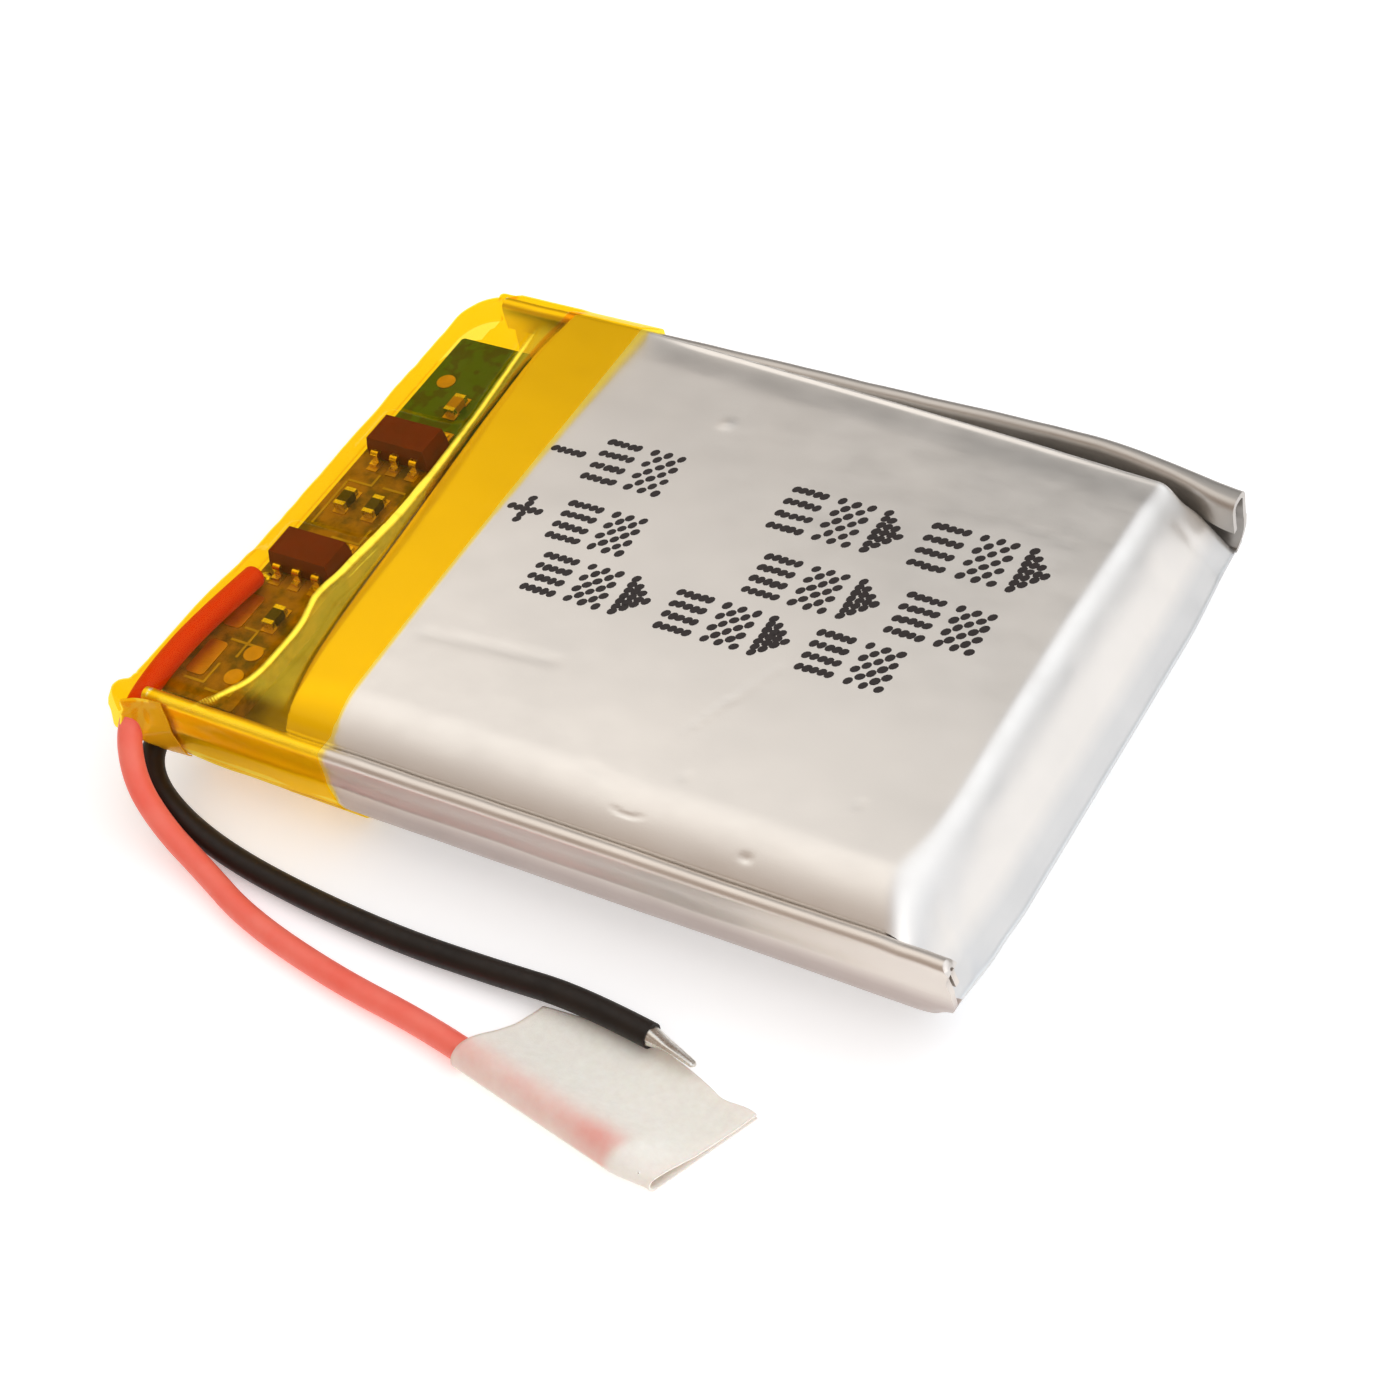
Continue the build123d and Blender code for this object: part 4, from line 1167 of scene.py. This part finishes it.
# Plain fillers that stand for the rest of the print. They are neither letters nor digits, and
# they follow one another in a fixed order, so they say nothing.
FILLERS = [
    pattern(["#####", ".....", "#####", ".....", "#####", ".....", "#####"]),
    pattern(["#.#.#", ".#.#.", "#.#.#", ".#.#.", "#.#.#", ".#.#.", "#.#.#"]),
    pattern(["#....", "##...", "###..", "####.", "###..", "##...", "#...."]),
]
SIGN_PITCH = 1.95
PRINT_BLOCKS = [  # signs to repeat, x and y of the lower left dot, pitch of the dot rows, how many
    (MINUS, -7.60, 2.95, 0.340, 1),
    (PLUS, -7.45, -0.35, 0.300, 1),
    (FILLERS, -5.60, 2.95, 0.340, 2),
    (FILLERS, 2.60, 2.95, 0.340, 6),
    (FILLERS, -5.20, -0.35, 0.300, 2),
    (FILLERS, 3.40, -0.35, 0.300, 5),
    (FILLERS, -4.60, -3.05, 0.290, 8),
]


def print_places():
    """Every sign of the print, as its dots, lower left dot and pitch of its rows."""
    for signs, x0, y0, row_pitch, count in PRINT_BLOCKS:
        for index in range(count):
            yield signs[index % len(signs)], x0 + index * SIGN_PITCH, y0, row_pitch


def print_mesh():
    """Overlapping ink dots, which follow the skin and stand a few microns proud of it."""
    random = np.random.default_rng(7)
    around = DOT_SIDES
    points, faces = [], []
    for dots, x0, y0, row_pitch in print_places():
        for column, row in dots:
            jitter = random.normal(0, DOT_JITTER, 2)
            cx = x0 + column * DOT_X + jitter[0]
            cy = y0 + row * row_pitch + jitter[1]
            rx, ry = DOT_RADIUS * random.uniform(0.92, 1.08), DOT_RADIUS * random.uniform(0.92, 1.1)
            start = len(points)
            for size, z in ((1.0, -DOT_HEIGHT), (DOT_TOP, DOT_HEIGHT)):
                for a in np.linspace(0, 2 * PI, around, endpoint=False):
                    slant = DOT_SLANT * math.cos(a)
                    points.append((cx + rx * math.cos(a) * size, cy + ry * math.sin(a) * size + slant, z))
            faces.append(tuple(range(start + around, start + 2 * around)))
            faces.append(tuple(range(start + around - 1, start - 1, -1)))
            faces += loop_faces(around, start=start)
    points = np.array(points)
    points[:, 2] += pouch_top(points[:, 0], points[:, 1])
    return points, faces


place(mesh_piece("printed_marks", *print_mesh(), INK), "laminate")

# ------------------------------------------------------------ tracks and outlines on the board

MARK_WIDTH = 0.11
BOARD_MARKS = [
    [(-15.35, -7.35), (-14.75, -7.35), (-14.75, -8.75)],
    [(-15.5, -8.05), (-13.95, -8.05)],
    [(-16.1, -10.35), (-15.2, -10.35), (-15.2, -9.35)],
    [(-14.9, -10.6), (-13.75, -10.6), (-13.75, -9.95)],
    [(-15.0, -1.9), (-13.7, -1.9), (-13.7, -1.1)],
    [(-16.3, 1.15), (-15.2, 1.15), (-15.2, 1.75)],
    [(-14.6, 1.2), (-13.6, 1.2)],
    [(-16.35, -1.4), (-16.35, 1.0)],
]


def marks_mesh():
    """Printed outlines and bare tracks, as thin raised strips with square corners."""
    points, faces = [], []
    for path in BOARD_MARKS:
        for order, ((ax, ay), (bx, by)) in enumerate(zip(path, path[1:])):
            height = BOARD_TOP + 0.02 + 0.006 * order
            along = np.array((bx - ax, by - ay)) / math.hypot(bx - ax, by - ay)
            side = np.array((-along[1], along[0])) * MARK_WIDTH / 2
            a, b = np.array((ax, ay)) - along * MARK_WIDTH / 2, np.array((bx, by)) + along * MARK_WIDTH / 2
            start = len(points)
            corners = (a - side, b - side, b + side, a + side)
            points += [(*c, BOARD_TOP - 0.005) for c in corners] + [(*c, height) for c in corners]
            faces += [(start + 3, start + 2, start + 1, start), (start + 4, start + 5, start + 6, start + 7)]
            faces += loop_faces(len(corners), start=start)
    return points, faces


place(mesh_piece("board_marks", *marks_mesh(), SILKSCREEN, 30), "board")

# ------------------------------------------------------------ materials of the CAD nodes that stay

CAD_LOOKS = [  # a material, and the CAD nodes made of it
    (board_material(), "circuit_board"),
    (TINNED, "solder_joints", "chip_terminations"),
    (plain_material("gold_pads", (0.62, 0.42, 0.17), 0.4, 1.0), "copper_pads"),
    (plain_material("ic_pins", (0.80, 0.66, 0.44), 0.25, 1.0), "ic_pins"),
    (IC_BODY, "protection_ic", "mosfet_ic"),
    (plain_material("nickel", (0.66, 0.64, 0.58), 0.3, 1.0), "nickel_strips", "negative_tab"),
    (plain_material("paper", (0.55, 0.50, 0.36), 0.85), "insulating_paper"),
    (plain_material("chip_black", (0.02, 0.02, 0.022), 0.35), "resistors"),
    (plain_material("chip_tan", (0.42, 0.26, 0.13), 0.5), "capacitor"),
    (plain_material("sealant", (0.62, 0.60, 0.54), 0.5), "terrace_seal"),
    (plain_material("tab_sealant", (0.62, 0.60, 0.54), 0.5), "positive_tab_sealant", "negative_tab_sealant"),
    (plain_material("aluminium_tab", (0.80, 0.80, 0.80), 0.3, 1.0), "positive_tab"),
    (plain_material("cathode", (0.03, 0.03, 0.032), 0.8), "cathode_strip"),
    (plain_material("anode", (0.05, 0.05, 0.055), 0.75), "anode_strip"),
    (plain_material("separator", (0.80, 0.80, 0.78), 0.7), "inner_separator", "outer_separator"),
    (plain_material("winding_tape", (0.06, 0.20, 0.42), 0.35), "winding_tape"),
]


def node_object(node):
    """The CAD object that holds a node's mesh."""
    return next(o for o in bpy.data.objects if o.type == "MESH" and o.name.split(".")[0] == node)


for material, *nodes in CAD_LOOKS:
    for node in nodes:
        for slot_ in node_object(node).material_slots:
            slot_.material = material
